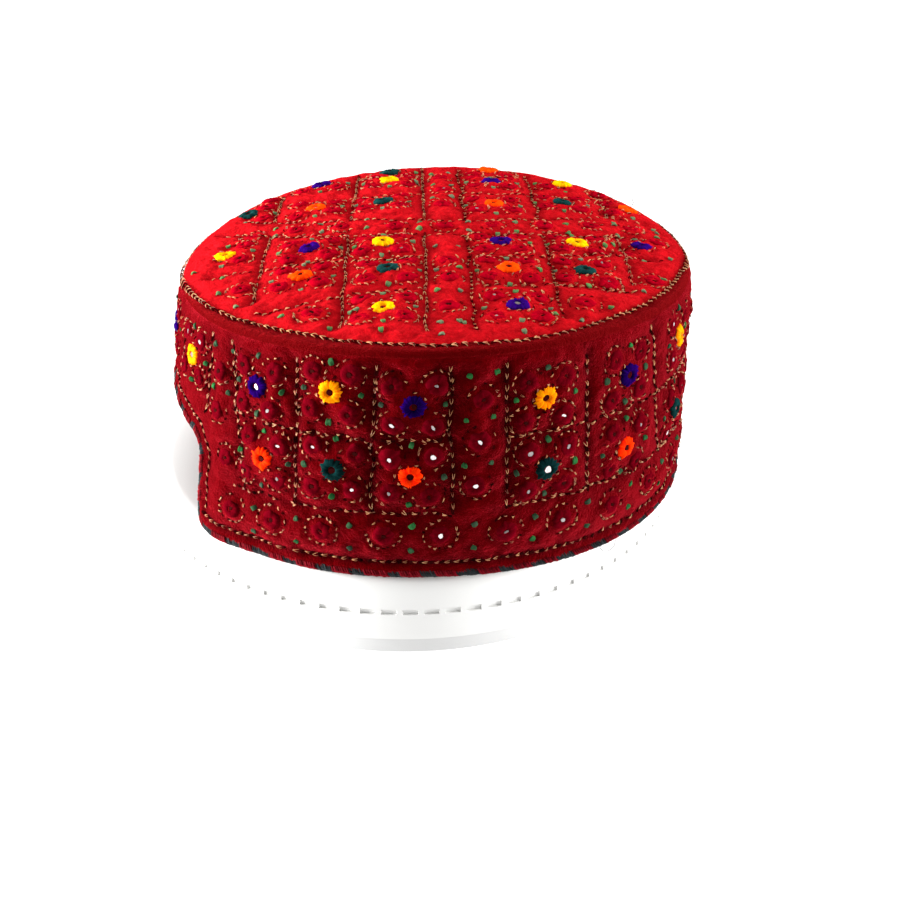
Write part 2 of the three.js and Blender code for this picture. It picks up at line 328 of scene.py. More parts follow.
chainStyles = {  # a link's pitch and half width, the threads' radii, the black rows between gold links
    "rope": {
        "pitch": 3.1, "half": 0.84, "gold": 0.15, "black": 0.25,
        "lift": 0.35, "rows": 2, "gaps": 0.03, "loose": 0.15,
    },
    "line": {
        "pitch": 3.15, "half": 0.5, "gold": 0.106, "black": 0.25,
        "lift": 0.2, "rows": 1, "gaps": 0.06, "loose": 0.3,
    },
    "thin": {
        "pitch": 2.8, "half": 0.43, "gold": 0.106, "black": 0.19,
        "lift": 0.16, "rows": 1, "gaps": 0.15, "loose": 0.45,
    },
    "ring": {
        "pitch": 2.1, "half": 0.4, "gold": 0.106, "black": 0.15,
        "lift": 0.16, "rows": 1, "gaps": 0.25, "loose": 0.85,
    },
}
crownThread = {"gold": 1.07, "black": 0.62}  # the crown is sewn with finer black thread
chains = []
circles = []
knots = []
rosettes = []


def addChain(cloth, line, style, closed=False):
    chains.append({"cloth": cloth, "line": np.asarray(line, dtype=float), "style": style, "closed": closed})


sewnOff = {"circle": 0.6, "knot": 0.5}  # how far off its place each may be sewn
circleSize = 3.4  # half the width of a small circle
arcSpan = (225, 285)  # degrees of a circle that its arc of stitches takes


def addCircle(cloth, u, v, facing=None, ring=4.7):
    # facing is the direction in degrees that its arc of stitches is turned to, or none for a full ring
    shift = hand.uniform(-sewnOff["circle"], sewnOff["circle"], 2)
    u, v = u + shift[0], v + shift[1]
    circles.append({"cloth": cloth, "u": u, "v": v, "size": circleSize * hand.uniform(0.94, 1.06)})
    span = 360 if facing is None else hand.uniform(*arcSpan)
    middle = hand.uniform(0, 360) if facing is None else facing + hand.uniform(-12, 12)
    turn = np.radians(np.linspace(middle - span / 2, middle + span / 2, 30))
    wobble = ring * (1 + 0.035 * np.sin(2 * turn + hand.uniform(0, 6)))
    line = np.stack([u + wobble * np.cos(turn), v + wobble * np.sin(turn)], -1)
    addChain(cloth, line[::-1] if hand.random() < 0.5 else line, "ring")


def addKnot(cloth, u, v, turn=None):
    shift = hand.uniform(-sewnOff["knot"], sewnOff["knot"], 2)
    lean = hand.uniform(0, math.pi) if turn is None else turn + hand.uniform(-0.5, 0.5)
    knots.append({"cloth": cloth, "u": u + shift[0], "v": v + shift[1], "turn": lean})


crownPattern = {
    "longChains": (-59, -30, -4, 10.5, 37.5, 64),
    "towardsNear": (10.5, 37.5),  # these run to the near rim, the others away from it
    "openColumn": -4,  # only the two bands cross the column that starts at this chain
    "sideEnd": 88.0,
    "bandClear": 1.5,  # a long chain ends this far from a band
    "crossClear": 1.6,  # a cross chain ends this far from a long one
    "shortest": 6,  # a long chain's shorter stretches are left out
    "bandNear": ((-20, -71), (-7, -55), (-1, -38), (4, -12), (6, 18), (3, 42), (0, 56), (-4, 70)),
    "bandFar": ((-36, -72), (-29, -62), (-20, -45), (-16, -30), (-12, -12), (-10, 13), (-13, 37), (-24, 66)),
    "crossChains": (
        ((58, -55), (53, -25), (51, -7), (49, 31), (48, 45)),
        ((22, -62), (25, -30), (27, 0), (26, 30), (18, 60)),
        ((-48, -62), (-45, -20), (-45, 25), (-49, 65)),
        ((-78, -45), (-75, -10), (-75, 25), (-78, 50)),
    ),
    "ringInset": (  # of the chain along the near rim, by its place from left to right
        (-88, -0.6), (-84, 1.2), (-74, 3.0), (-61, 5.0), (-47, 5.6), (-30, 4.8), (-10, 4.2), (12, 4.0),
        (35, 3.8), (44, 4.0), (52, 5.2), (65, 4.8), (75, 4.2), (84, 3.0), (88, 0.0),
    ),
    "farRingInset": -0.5,  # along the far rim it is sewn outside the edge
    "ropePoints": 240,  # of the chain round the rim
    "nearClear": 13.5,  # the long chains stop this far from the near rim
    "farClear": 6.5,
    "crossRimClear": 9,
    "circleRimClear": 9.5,
    "circleReach": 6.5,  # from a rosette's middle, each way
    "knotReach": 10.2,
    "bandKnot": (4, 8.4),  # beside and past its circle
    "middleKnotBeside": 3.7,
    "middleY": 3.3,
    "middleCircles": (-68, -48, -28, 31, 46, 65),
    "middleKnots": (-79, -58, -38, 17, 38, 55, 76),
    "bandCircles": (
        (-13, -66), (-10, -49), (-8, -33), (-3, -14), (-2, 3), (-3, 20), (-5, 38), (-9, 56), (-12, 71),
    ),
    "cornerCircles": (
        (65.4, -38.9), (61.4, 45.3), (38.4, -63.8), (37, 70.7), (44.7, 54.8), (-58, -63), (-56, 64),
    ),
    "cornerKnots": (
        (15, -82), (23.9, -71.4), (39.1, -71.3), (51.6, -63.4), (64.1, -48.7), (73.9, -32.6), (79.9, -17.1),
        (65.1, -25.7), (81.5, 24.4), (84, -0.1), (75.2, 6.3), (63, 53.2), (72.3, 43.3), (69.5, 35.2),
        (47.1, 65.6), (34.5, 74.2), (15.1, 80), (-12.7, 80), (-16.5, 65.1),
    ),
}


def insideCrown(u, v, clear):
    half = capForm["crownHalf"] - clear
    return (u / half[0]) ** 2 + (v / half[1]) ** 2 < 1


def crownReach(v, clear):
    half = capForm["crownHalf"] - clear
    return half[0] * math.sqrt(max(0, 1 - (v / half[1]) ** 2))


def crossAt(line, v):
    return np.interp(v, [place[1] for place in line], [place[0] for place in line])


def ringInset(u, v):
    places, insets = np.array(crownPattern["ringInset"], dtype=float).T
    far = np.clip(-u / 33, 0, 1)
    return np.interp(v, places, insets) * (1 - far) + crownPattern["farRingInset"] * far


def planCrown():
    plan = crownPattern
    turn = np.linspace(0, 2 * math.pi, plan["ropePoints"], endpoint=False)
    rim = capForm["crownHalf"][:, None] * [np.cos(turn), np.sin(turn)]
    half = capForm["crownHalf"][:, None] - ringInset(*rim)
    rim = np.stack([half[0] * np.cos(turn), half[1] * np.sin(turn)], -1)
    addChain("crown", rim[::-1], "rope", closed=True)
    for v in plan["longChains"]:
        near, far = crossAt(plan["bandNear"], v), crossAt(plan["bandFar"], v)
        nearEnd, farEnd = crownReach(v, plan["nearClear"]), -crownReach(v, plan["farClear"])
        for start, end in ((near + plan["bandClear"], nearEnd), (farEnd, far - plan["bandClear"])):
            if end - start < plan["shortest"]:
                continue
            line = np.stack([np.linspace(start, end, 12), v + hand.normal(0, 0.35, 12)], -1)
            addChain("crown", line if v in plan["towardsNear"] else line[::-1], "line")
    sides = [-plan["sideEnd"], *plan["longChains"], plan["sideEnd"]]
    for cross in (*plan["crossChains"], plan["bandNear"], plan["bandFar"]):
        for left, right in zip(sides[:-1], sides[1:]):
            if left == plan["openColumn"] and cross in plan["crossChains"]:
                continue
            v = np.linspace(left + plan["crossClear"], right - plan["crossClear"], 10)
            line = np.stack([crossAt(cross, v) + hand.normal(0, 0.3, 10), v], -1)
            line = line[insideCrown(line[:, 0], line[:, 1], plan["crossRimClear"])]
            if len(line) > 3:
                addChain("crown", line if hand.random() < 0.6 else line[::-1], "thin")
    for rosette in rosettes:
        if rosette["cloth"] == "crown":
            surroundRosette(rosette, plan["circleReach"], plan["knotReach"])
    for u in plan["middleCircles"]:
        addCircle("crown", u, plan["middleY"], facing=hand.choice([0, 180]), ring=4.8)
    for u, v in plan["bandCircles"]:
        addCircle("crown", u, v, facing=hand.choice([90, 270]), ring=4.9)
        beside, past = plan["bandKnot"]
        for sign in (-1, 1):
            addKnot("crown", u + sign * beside, v + past)
    for u in plan["middleKnots"]:
        for sign in (-1, 1):
            addKnot("crown", u, plan["middleY"] + sign * plan["middleKnotBeside"])
    for u, v in plan["cornerCircles"]:
        addCircle("crown", u, v, ring=5.2)
    for u, v in plan["cornerKnots"]:
        addKnot("crown", u, v)


def hasRoom(cloth, u, v):
    # near the crown's rim there is none
    return cloth == "wall" or insideCrown(u, v, crownPattern["circleRimClear"])


def surroundRosette(rosette, circleReach, knotReach):
    cloth, u, v = rosette["cloth"], rosette["u"], rosette["v"]
    for signU in (-1, 1):
        for signV in (-1, 1):
            circleU, circleV = u + signU * circleReach, v + signV * circleReach
            if hasRoom(cloth, circleU, circleV):
                facing = math.degrees(math.atan2(signV, signU))
                addCircle(cloth, circleU, circleV, facing=facing, ring=4.5)
    for awayU, awayV in ((knotReach, 0), (-knotReach, 0), (0, knotReach), (0, -knotReach)):
        if hasRoom(cloth, u + awayU, v + awayV) and hand.random() < 0.9:
            addKnot(cloth, u + awayU, v + awayV, turn=0.5 * math.pi if cloth == "wall" else 0.0)
    for quarter in range(4):
        if hand.random() < 0.7:  # a stitch or two astray at the rosette's side
            middle = 90 * quarter + hand.uniform(20, 70)
            turn = np.radians(np.linspace(middle - 20, middle + 20, 5))
            reach = hand.uniform(4.0, 4.7)
            addChain(cloth, np.stack([u + reach * np.cos(turn), v + reach * np.sin(turn)], -1), "ring")


wallPattern = {
    "top": 70.6,
    "middle": 48.2,
    "middleDrop": 1.2,  # lower towards the back
    "border": 22.6,
    "borderRise": 1.8,
    "borderClear": 3,
    "edgeRow": -2.6,  # out of the cloth's cut edge, so this much inside it
    "verticals": (  # the angle at the top, and at the border
        (45.7, 51.6), (62.8, 63.8), (78.5, 78.5), (91.8, 93.6), (101.9, 103.6), (118.3, 120.3),
        (137.7, 142), (160, 162.5), (180, 180),
    ),
    "frontVerticals": (0, 20.5, 38.5),
    "frontLow": 45.0,
    "cells": (
        (49, 63.5), (63.5, 78.5), (78.5, 92.7), (102.7, 119.3), (119.3, 140), (140, 161.2), (161.2, 180),
    ),
    "columns": (  # narrow ones with circles alone: the angle, and the circles' heights
        (97.7, (61, 47, 32)),
        (43.2, (60.5, 46)),
    ),
    "columnKnot": (4.1, 7.6),  # beside and above its circle
    "circleReach": 6.3,
    "knotReach": 9.6,
    "borderCircles": (49, 58.5, 69.5, 81, 92, 103.5, 115, 126.5, 138, 149.5, 161, 172.5),
    "borderCircleHeight": 13.8,
    "borderCircleRise": (48, 88, 2.0),  # from one angle to another, they rise by this much
    "borderKnotAngle": 5.6,
    "borderKnotHeights": (3.2, -5.2),
    "cornerCircle": (47, 31.0),
    "backCircles": (167, 176),
    "backRows": (62, 53.5, 39.5, 30.5),
    "backKnot": 171.5,
}


def addUpright(low, startAngle, endAngle):
    # a chain from the wall's top down, its angles signed by the side that it is on
    along = np.linspace(startAngle, endAngle, 10) * perDegree + hand.normal(0, 0.3, 10)
    addChain("wall", np.stack([along, np.linspace(wallPattern["top"], low, 10)], -1), "line")


def addLevel(startAngle, endAngle, height):
    along = np.linspace(startAngle, endAngle, 14) * perDegree
    addChain("wall", np.stack([along, height + hand.normal(0, 0.25, 14)], -1), "thin")


def planWall():
    plan = wallPattern
    addChain("wall", edgeLoop(plan["edgeRow"])[::-1], "line", closed=True)
    for mirrored in (1, -1):
        for angle, lowAngle in plan["verticals"]:
            if mirrored == 1 or angle < 180:
                addUpright(plan["border"] + plan["borderClear"], mirrored * angle, mirrored * lowAngle)
        for angle in plan["frontVerticals"]:
            if mirrored == 1 or angle > 0:
                addUpright(plan["frontLow"], mirrored * angle, mirrored * angle)
        for start, end in plan["cells"]:
            further = min(1, max(0, (start - 60) / 60))
            middle = plan["middle"] - plan["middleDrop"] * further
            addLevel(mirrored * (start + 1), mirrored * (end - 1), middle)
            border = plan["border"] + plan["borderRise"] * further
            addLevel(mirrored * (start + 0.5), mirrored * (end - 0.5), border)
        beside, above = plan["columnKnot"]
        for angle, heights in plan["columns"]:
            along = mirrored * angle * perDegree
            for height in heights:
                addCircle("wall", along, height, facing=hand.choice([90, 270]))
                for sign in (-1, 1):
                    addKnot("wall", along + sign * beside, height + above, turn=1.6)
        riseStart, riseEnd, rise = plan["borderCircleRise"]
        for angle in plan["borderCircles"]:
            height = plan["borderCircleHeight"] + rise * min(1, (angle - riseStart) / (riseEnd - riseStart))
            addCircle("wall", mirrored * angle * perDegree, height, ring=5.1)
            for knotHeight in plan["borderKnotHeights"]:
                addKnot("wall", mirrored * (angle + plan["borderKnotAngle"]) * perDegree, height + knotHeight)
        cornerAngle, cornerHeight = plan["cornerCircle"]
        addCircle("wall", mirrored * cornerAngle * perDegree, cornerHeight, facing=90)
        for angle in plan["backCircles"]:
            for height in plan["backRows"]:
                addCircle("wall", mirrored * angle * perDegree, height)
        for low, high in (("border", "middle"), ("middle", "top")):
            addKnot("wall", mirrored * plan["backKnot"] * perDegree, (plan[low] + plan[high]) / 2)
    for rosette in rosettes:
        if rosette["cloth"] == "wall":
            surroundRosette(rosette, plan["circleReach"], plan["knotReach"])


def findRosettes():
    # each rosette's solid says where it sits, and its slot which thread it is made of
    for subpart in frame["record"]["subparts"]:
        node, slot = subpart["node"], subpart["material_slot"]
        if "rosette" not in node:
            continue
        low, high = boxOf(node)
        x, y, z = (low + high) / 2
        if node.startswith("crown"):
            cloth, u, v = "crown", x, y - capForm["crownCentreY"]
        else:
            cloth, v = "wall", z - capForm["hemHeight"]
            for _ in range(4):
                share = v / capForm["height"]
                centreY = capForm["hemCentreY"] + (capForm["crownCentreY"] - capForm["hemCentreY"]) * share
                u = math.atan2(x, centreY - y) * capForm["aroundRadius"]
                v += z - wallPoint(np.array(u), np.array(v))[2]
        rosettes.append({"cloth": cloth, "u": u, "v": v, "node": node, "slot": slot})


findRosettes()
planCrown()
planWall()
print("pattern planned:", len(chains), "chains,", len(circles), "circles,", len(knots), "knots")


# Relief of the quilted cloth, kept on a flat grid over each cloth

reliefForm = {
    "cell": 0.5,
    "markPitch": 0.9,  # along a chain, one mark in the relief for each of these
    "groove": 0.62,  # how deep a chain pulls the cloth in
    "shallow": 0.55,  # the finer chains pull this share of it
    "grooveWidth": 1.5,
    "puffWidth": 4.5,
    "puff": 1.0,
    "mound": 0.36,
    "moundRadius": 3.6,
    "pit": 0.4,
    "pitWidth": 2.0,
    "hills": 0.28,
    "hillSize": 3.0,
    "fine": 0.15,
    "fineSize": 1.2,
    "ripples": 0.12,  # in the wall's plain band under the rim
    "rippleHeight": 73.0,
    "rippleWidth": 3.0,
    "settle": {"crown": 0.75, "wall": 0.55},
    "rimFade": 9.0,
}
reliefSpans = {
    "crown": {"u": (-97, 97), "v": (-92, 92), "isRound": False, "seed": 3},
    "wall": {"u": (-fullRound / 2, fullRound / 2), "v": (-2, 78), "isRound": True, "seed": 5},
}
reliefs = {}


def hillField(rows, columns, cell, size, seed):
    white = np.random.default_rng(seed).standard_normal((rows, columns))
    waves = np.fft.fftfreq(rows, cell)[:, None] ** 2 + np.fft.fftfreq(columns, cell)[None] ** 2
    soft = np.fft.ifft2(np.fft.fft2(white) * np.exp(-waves * (size * 2.2) ** 2)).real
    return soft / soft.std()


def hump(away, width, power=2):
    return np.exp(-(away / width) ** power)


def stamp(field, relief, places, reach, shape):
    # marks a field round each place with a height that shape gives for the distance, out to reach
    cell = relief["cell"]
    steps = np.arange(-int(reach / cell) - 1, int(reach / cell) + 2)
    rows, columns = field.shape
    for u, v in places:
        column, row = round((u - relief["lowU"]) / cell), round((v - relief["lowV"]) / cell)
        nearRows = row + steps
        nearRows = nearRows[(nearRows >= 0) & (nearRows < rows)]
        nearColumns = column + steps
        if not relief["round"]:
            nearColumns = nearColumns[(nearColumns >= 0) & (nearColumns < columns)]
        if not len(nearRows) or not len(nearColumns):
            continue
        awayU = nearColumns * cell + relief["lowU"] - u
        awayV = nearRows * cell + relief["lowV"] - v
        distance = np.hypot(awayU[None], awayV[:, None])
        window = np.ix_(nearRows, nearColumns % columns)
        field[window] = np.maximum(field[window], shape(distance))


def makeRelief(cloth):
    form, span = reliefForm, reliefSpans[cloth]
    (lowU, highU), (lowV, highV) = span["u"], span["v"]
    isRound, seed = span["isRound"], span["seed"]
    columns = int(round((highU - lowU) / form["cell"])) + (0 if isRound else 1)
    cell = (highU - lowU) / (columns if isRound else columns - 1)
    rows = int(math.ceil((highV - lowV) / cell)) + 1
    relief = {"cell": cell, "lowU": lowU, "lowV": lowV, "round": isRound}
    groove, near, mound, pit = (np.zeros((rows, columns)) for _ in range(4))
    for chain in chains:
        if chain["cloth"] == cloth:
            places, _ = evenly(chain["line"], form["markPitch"], chain["closed"])
            depth = form["shallow"] if chain["style"] in ("ring", "thin") else 1.0
            stamp(groove, relief, places, 3.2, lambda away: depth * hump(away, form["grooveWidth"]))
            if chain["style"] != "ring":
                stamp(near, relief, places[::2], 9, lambda away: hump(away, form["puffWidth"]))
    middles = [(circle["u"], circle["v"]) for circle in circles if circle["cloth"] == cloth]
    stamp(mound, relief, middles, 6, lambda away: hump(away, form["moundRadius"], 4))
    dots = [(knot["u"], knot["v"]) for knot in knots if knot["cloth"] == cloth]
    stamp(pit, relief, dots, 4.5, lambda away: hump(away, form["pitWidth"]))
    hills = hillField(rows, columns, cell, form["hillSize"], seed)
    fine = hillField(rows, columns, cell, form["fineSize"], seed + 1)
    height = form["puff"] * (1 - near) - form["groove"] * groove + form["mound"] * mound
    height += form["hills"] * hills + form["fine"] * fine - form["pit"] * pit - form["settle"][cloth]
    level = (lowV + np.arange(rows) * cell)[:, None]
    if cloth == "crown":
        across = (lowU + np.arange(columns) * cell)[None] / capForm["crownHalf"][0]
        toRim = (1 - np.hypot(across, level / capForm["crownHalf"][1])) * capForm["crownHalf"][0]
        height *= 0.25 + 0.75 * np.clip(toRim / form["rimFade"], 0, 1)  # calmer towards the rolled edge
    else:
        band = hump(level - form["rippleHeight"], form["rippleWidth"])
        height += form["ripples"] * np.sin(level * 2.6 + 0.8 * hills) * band
    relief["field"] = height
    # painted shade: the cloth is darkened along the chains' grooves, beside the chains and round the knots,
    # as the shade in the quilting's creases
    relief["shade"] = np.clip(0.6 * groove + 0.35 * near + 0.5 * pit, 0, 1)
    reliefs[cloth] = relief


def sampled(cloth, layer, u, v):
    relief = reliefs[cloth]
    field = relief[layer]
    rows, columns = field.shape
    column = (u - relief["lowU"]) / relief["cell"]
    row = np.clip((v - relief["lowV"]) / relief["cell"], 0, rows - 1.001)
    if not relief["round"]:
        column = np.clip(column, 0, columns - 1.001)
    left, low = np.floor(column).astype(int), np.floor(row).astype(int)
    shareU, shareV = column - left, row - low
    left, right = left % columns, (left + 1) % columns
    below = field[low, left] * (1 - shareU) + field[low, right] * shareU
    above = field[low + 1, left] * (1 - shareU) + field[low + 1, right] * shareU
    return below * (1 - shareV) + above * shareV


for clothName in reliefSpans:
    makeRelief(clothName)


def onCloth(cloth, u, v, lift):
    # a point over the quilted cloth, and the cloth's outward direction there
    normal = clothNormal(cloth, u, v)
    raised = sampled(cloth, "field", u, v) + lift
    return cloths[cloth](u, v) + normal * raised[..., None], normal


print("relief ready")


# Materials

def addNode(tree, kind, place, **values):
    node = tree.nodes.new(kind)
    node.location = place
    for key, value in values.items():
        setattr(node, key, value)
    return node


def newGroup(name, inputs, outputs):
    tree = bpy.data.node_groups.new(name, "ShaderNodeTree")
    for socket, kind, value in inputs:
        made = tree.interface.new_socket(name=socket, in_out="INPUT", socket_type=kind)
        made.default_value = value
    for socket, kind in outputs:
        tree.interface.new_socket(name=socket, in_out="OUTPUT", socket_type=kind)
    entry = addNode(tree, "NodeGroupInput", (-900, 0))
    leave = addNode(tree, "NodeGroupOutput", (700, 0))
    return tree, entry, leave


def makeWoolGroup():
    # brushed woolly cloth: soft clumps, fine fibres and slow changes of colour
    tree, entry, leave = newGroup(
        "woolCloth",
        [
            ("Clump Size", "NodeSocketFloat", 900.0),
            ("Fibre Size", "NodeSocketFloat", 2600.0),
            ("Patch Size", "NodeSocketFloat", 120.0),
        ],
        [("Height", "NodeSocketFloat"), ("Shade", "NodeSocketFloat"), ("Patch", "NodeSocketFloat")],
    )
    link = tree.links.new
    where = addNode(tree, "ShaderNodeTexCoord", (-900, 300))
    bend = addNode(tree, "ShaderNodeTexNoise", (-700, 420))
    bend.inputs["Scale"].default_value = 500.0
    spread = addNode(tree, "ShaderNodeVectorMath", (-520, 420), operation="SCALE")
    spread.inputs["Scale"].default_value = 0.0012
    moved = addNode(tree, "ShaderNodeVectorMath", (-340, 360), operation="ADD")
    link(where.outputs["Object"], bend.inputs["Vector"])
    link(bend.outputs["Color"], spread.inputs[0])
    link(where.outputs["Object"], moved.inputs[0])
    link(spread.outputs["Vector"], moved.inputs[1])
    clumps = addNode(tree, "ShaderNodeTexNoise", (-120, 300))
    clumps.inputs["Detail"].default_value = 4.0
    clumps.inputs["Roughness"].default_value = 0.68
    fibres = addNode(tree, "ShaderNodeTexNoise", (-120, 0))
    fibres.inputs["Detail"].default_value = 3.0
    fibres.inputs["Distortion"].default_value = 1.6
    patches = addNode(tree, "ShaderNodeTexNoise", (-120, -300))
    patches.inputs["Detail"].default_value = 2.0
    link(moved.outputs["Vector"], clumps.inputs["Vector"])
    link(moved.outputs["Vector"], fibres.inputs["Vector"])
    link(where.outputs["Object"], patches.inputs["Vector"])
    link(entry.outputs["Clump Size"], clumps.inputs["Scale"])
    link(entry.outputs["Fibre Size"], fibres.inputs["Scale"])
    link(entry.outputs["Patch Size"], patches.inputs["Scale"])
    half = addNode(tree, "ShaderNodeMath", (120, 60), operation="MULTIPLY_ADD")
    half.inputs[1].default_value = 0.5
    link(fibres.outputs["Fac"], half.inputs[0])
    link(clumps.outputs["Fac"], half.inputs[2])
    link(half.outputs["Value"], leave.inputs["Height"])
    shade = addNode(tree, "ShaderNodeMapRange", (320, -60))
    shade.inputs["From Min"].default_value = 0.55
    shade.inputs["From Max"].default_value = 0.98
    link(half.outputs["Value"], shade.inputs["Value"])
    link(shade.outputs["Result"], leave.inputs["Shade"])
    link(patches.outputs["Fac"], leave.inputs["Patch"])
    return tree


def makeFlossGroup():
    # loosely twisted floss: fine strands and light and dark along the thread
    tree, entry, leave = newGroup(
        "twistedFloss",
        [("Strand Size", "NodeSocketFloat", 4200.0)],
        [("Height", "NodeSocketFloat"), ("Shade", "NodeSocketFloat")],
    )
    link = tree.links.new
    where = addNode(tree, "ShaderNodeTexCoord", (-700, 100))
    strands = addNode(tree, "ShaderNodeTexNoise", (-400, 150))
    strands.inputs["Detail"].default_value = 2.0
    strands.inputs["Distortion"].default_value = 2.2
    link(where.outputs["Object"], strands.inputs["Vector"])
    link(entry.outputs["Strand Size"], strands.inputs["Scale"])
    link(strands.outputs["Fac"], leave.inputs["Height"])
    shade = addNode(tree, "ShaderNodeMapRange", (0, 0))
    shade.inputs["From Min"].default_value = 0.35
    shade.inputs["From Max"].default_value = 0.65
    link(strands.outputs["Fac"], shade.inputs["Value"])
    link(shade.outputs["Result"], leave.inputs["Shade"])
    return tree


def newMaterial(name, roughness):
    material = bpy.data.materials.new(name)
    material.use_nodes = True
    tree = material.node_tree
    shader = tree.nodes["Principled BSDF"]
    shader.inputs["Roughness"].default_value = roughness
    return material, tree, shader


def mixedColour(tree, place, factor, first, second, blend="MIX"):
    # first and second are colours, or the output sockets of other nodes
    node = addNode(tree, "ShaderNodeMix", place, data_type="RGBA", blend_type=blend)
    factorSocket = next(s for s in node.inputs if s.name == "Factor" and s.type == "VALUE")
    colourSockets = [s for s in node.inputs if s.type == "RGBA"]
    if isinstance(factor, (int, float)):
        factorSocket.default_value = factor
    else:
        tree.links.new(factor, factorSocket)
    for socket, value in zip(colourSockets, (first, second)):
        if isinstance(value, tuple):
            socket.default_value = (*value, 1.0)
        else:
            tree.links.new(value, socket)
    return next(s for s in node.outputs if s.type == "RGBA")


def addBump(tree, shader, height, distance, strength):
    bump = addNode(tree, "ShaderNodeBump", (-200, -300))
    bump.inputs["Distance"].default_value = distance * metre
    bump.inputs["Strength"].default_value = strength
    tree.links.new(height, bump.inputs["Height"])
    tree.links.new(bump.outputs["Normal"], shader.inputs["Normal"])


woolGroup = makeWoolGroup()
flossGroup = makeFlossGroup()


def maskOf(tree, name, place):
    node = addNode(tree, "ShaderNodeAttribute", place)
    node.attribute_name = name
    return node.outputs["Fac"]


def clothMaterial(name, deep, plain, bright, lining, skirt, sheen, nap):
    material, tree, shader = newMaterial(name, 0.95)
    wool = addNode(tree, "ShaderNodeGroup", (-1100, 0))
    wool.node_tree = woolGroup
    wool.inputs["Clump Size"].default_value = nap["clump"]
    wool.inputs["Patch Size"].default_value = nap["patch"]
    colour = mixedColour(tree, (-800, 200), wool.outputs["Shade"], plain, bright)
    patchy = mixedColour(tree, (-620, 200), wool.outputs["Patch"], (0.62, 0.56, 0.56), (1.3, 1.26, 1.26))
    colour = mixedColour(tree, (-440, 200), 1.0, colour, patchy, blend="MULTIPLY")
    # painted shade: the deep colour is mixed in along the creases, where shade falls
    colour = mixedColour(tree, (-260, 200), maskOf(tree, "pulled", (-620, 420)), colour, deep)
    # painted shade: outside the rope the crown's edge takes the wall's darkened red
    colour = mixedColour(tree, (-260, 400), maskOf(tree, "skirt", (-620, 600)), colour, skirt)
    colour = mixedColour(tree, (-80, 200), maskOf(tree, "lining", (-440, 520)), colour, lining)
    tree.links.new(colour, shader.inputs["Base Color"])
    shader.inputs["Specular IOR Level"].default_value = 0.0
    shader.inputs["Sheen Weight"].default_value = sheen["weight"]
    shader.inputs["Sheen Roughness"].default_value = sheen["roughness"]
    shader.inputs["Sheen Tint"].default_value = (*sheen["tint"], 1.0)
    addBump(tree, shader, wool.outputs["Height"], nap["bump"], 0.9)
    return material


def flossMaterial(
    name, dark, light, roughness=0.8, size=4200.0, bump=0.15, specular=0.08, sheen=0.2, paintedGlow=None,
):
    material, tree, shader = newMaterial(name, roughness)
    floss = addNode(tree, "ShaderNodeGroup", (-1000, 0))
    floss.node_tree = flossGroup
    floss.inputs["Strand Size"].default_value = size
    colour = mixedColour(tree, (-700, 200), maskOf(tree, "tint", (-1000, 300)), dark, light)
    darker = mixedColour(tree, (-700, 0), floss.outputs["Shade"], (0.7, 0.7, 0.7), (1.15, 1.15, 1.15))
    colour = mixedColour(tree, (-450, 150), 1.0, colour, darker, blend="MULTIPLY")
    tree.links.new(colour, shader.inputs["Base Color"])
    shader.inputs["Specular IOR Level"].default_value = specular
    shader.inputs["Sheen Weight"].default_value = sheen
    shader.inputs["Sheen Tint"].default_value = (*(part / max(light) for part in light), 1.0)
    # painted light: the yellow and orange threads give out light of their own, which keeps them bright in the
    # shade
    if paintedGlow:
        tree.links.new(colour, shader.inputs["Emission Color"])
        shader.inputs["Emission Strength"].default_value = paintedGlow
    addBump(tree, shader, floss.outputs["Height"], bump, 0.7)
    return material


def mirrorMaterial():
    # the tint mask is 1 where the glass is clear, and 0 where it is painted dark, a painted dark reflection
    # in place of the glass's own
    material, tree, shader = newMaterial("mirrorGlass", 0.2)
    wool = addNode(tree, "ShaderNodeGroup", (-900, 0))
    wool.node_tree = woolGroup
    wool.inputs["Clump Size"].default_value = 1500.0
    clear = maskOf(tree, "tint", (-700, 300))
    colour = mixedColour(tree, (-600, 100), wool.outputs["Shade"], (0.62, 0.5, 0.5), (0.95, 0.9, 0.9))
    colour = mixedColour(tree, (-400, 100), clear, (0.03, 0.003, 0.003), colour)
    tree.links.new(colour, shader.inputs["Base Color"])
    tree.links.new(clear, shader.inputs["Metallic"])
    shader.inputs["Specular IOR Level"].default_value = 0.0
    addBump(tree, shader, wool.outputs["Height"], 0.1, 0.5)
    return material


def standMaterial():
    material, tree, shader = newMaterial("whiteMouldedPlastic", 0.42)
    wool = addNode(tree, "ShaderNodeGroup", (-900, 0))
    wool.node_tree = woolGroup
    wool.inputs["Clump Size"].default_value = 1400.0
    wool.inputs["Patch Size"].default_value = 40.0
    colour = mixedColour(tree, (-700, 100), wool.outputs["Patch"], (0.74, 0.74, 0.725), (0.78, 0.78, 0.765))
    # painted shade: the foot is greyer, for the shade under the skirt's overhang
    colour = mixedColour(tree, (-450, 100), maskOf(tree, "foot", (-700, 350)), colour, (0.64, 0.64, 0.635))
    tree.links.new(colour, shader.inputs["Base Color"])
    addBump(tree, shader, wool.outputs["Height"], 0.02, 0.25)
    return material
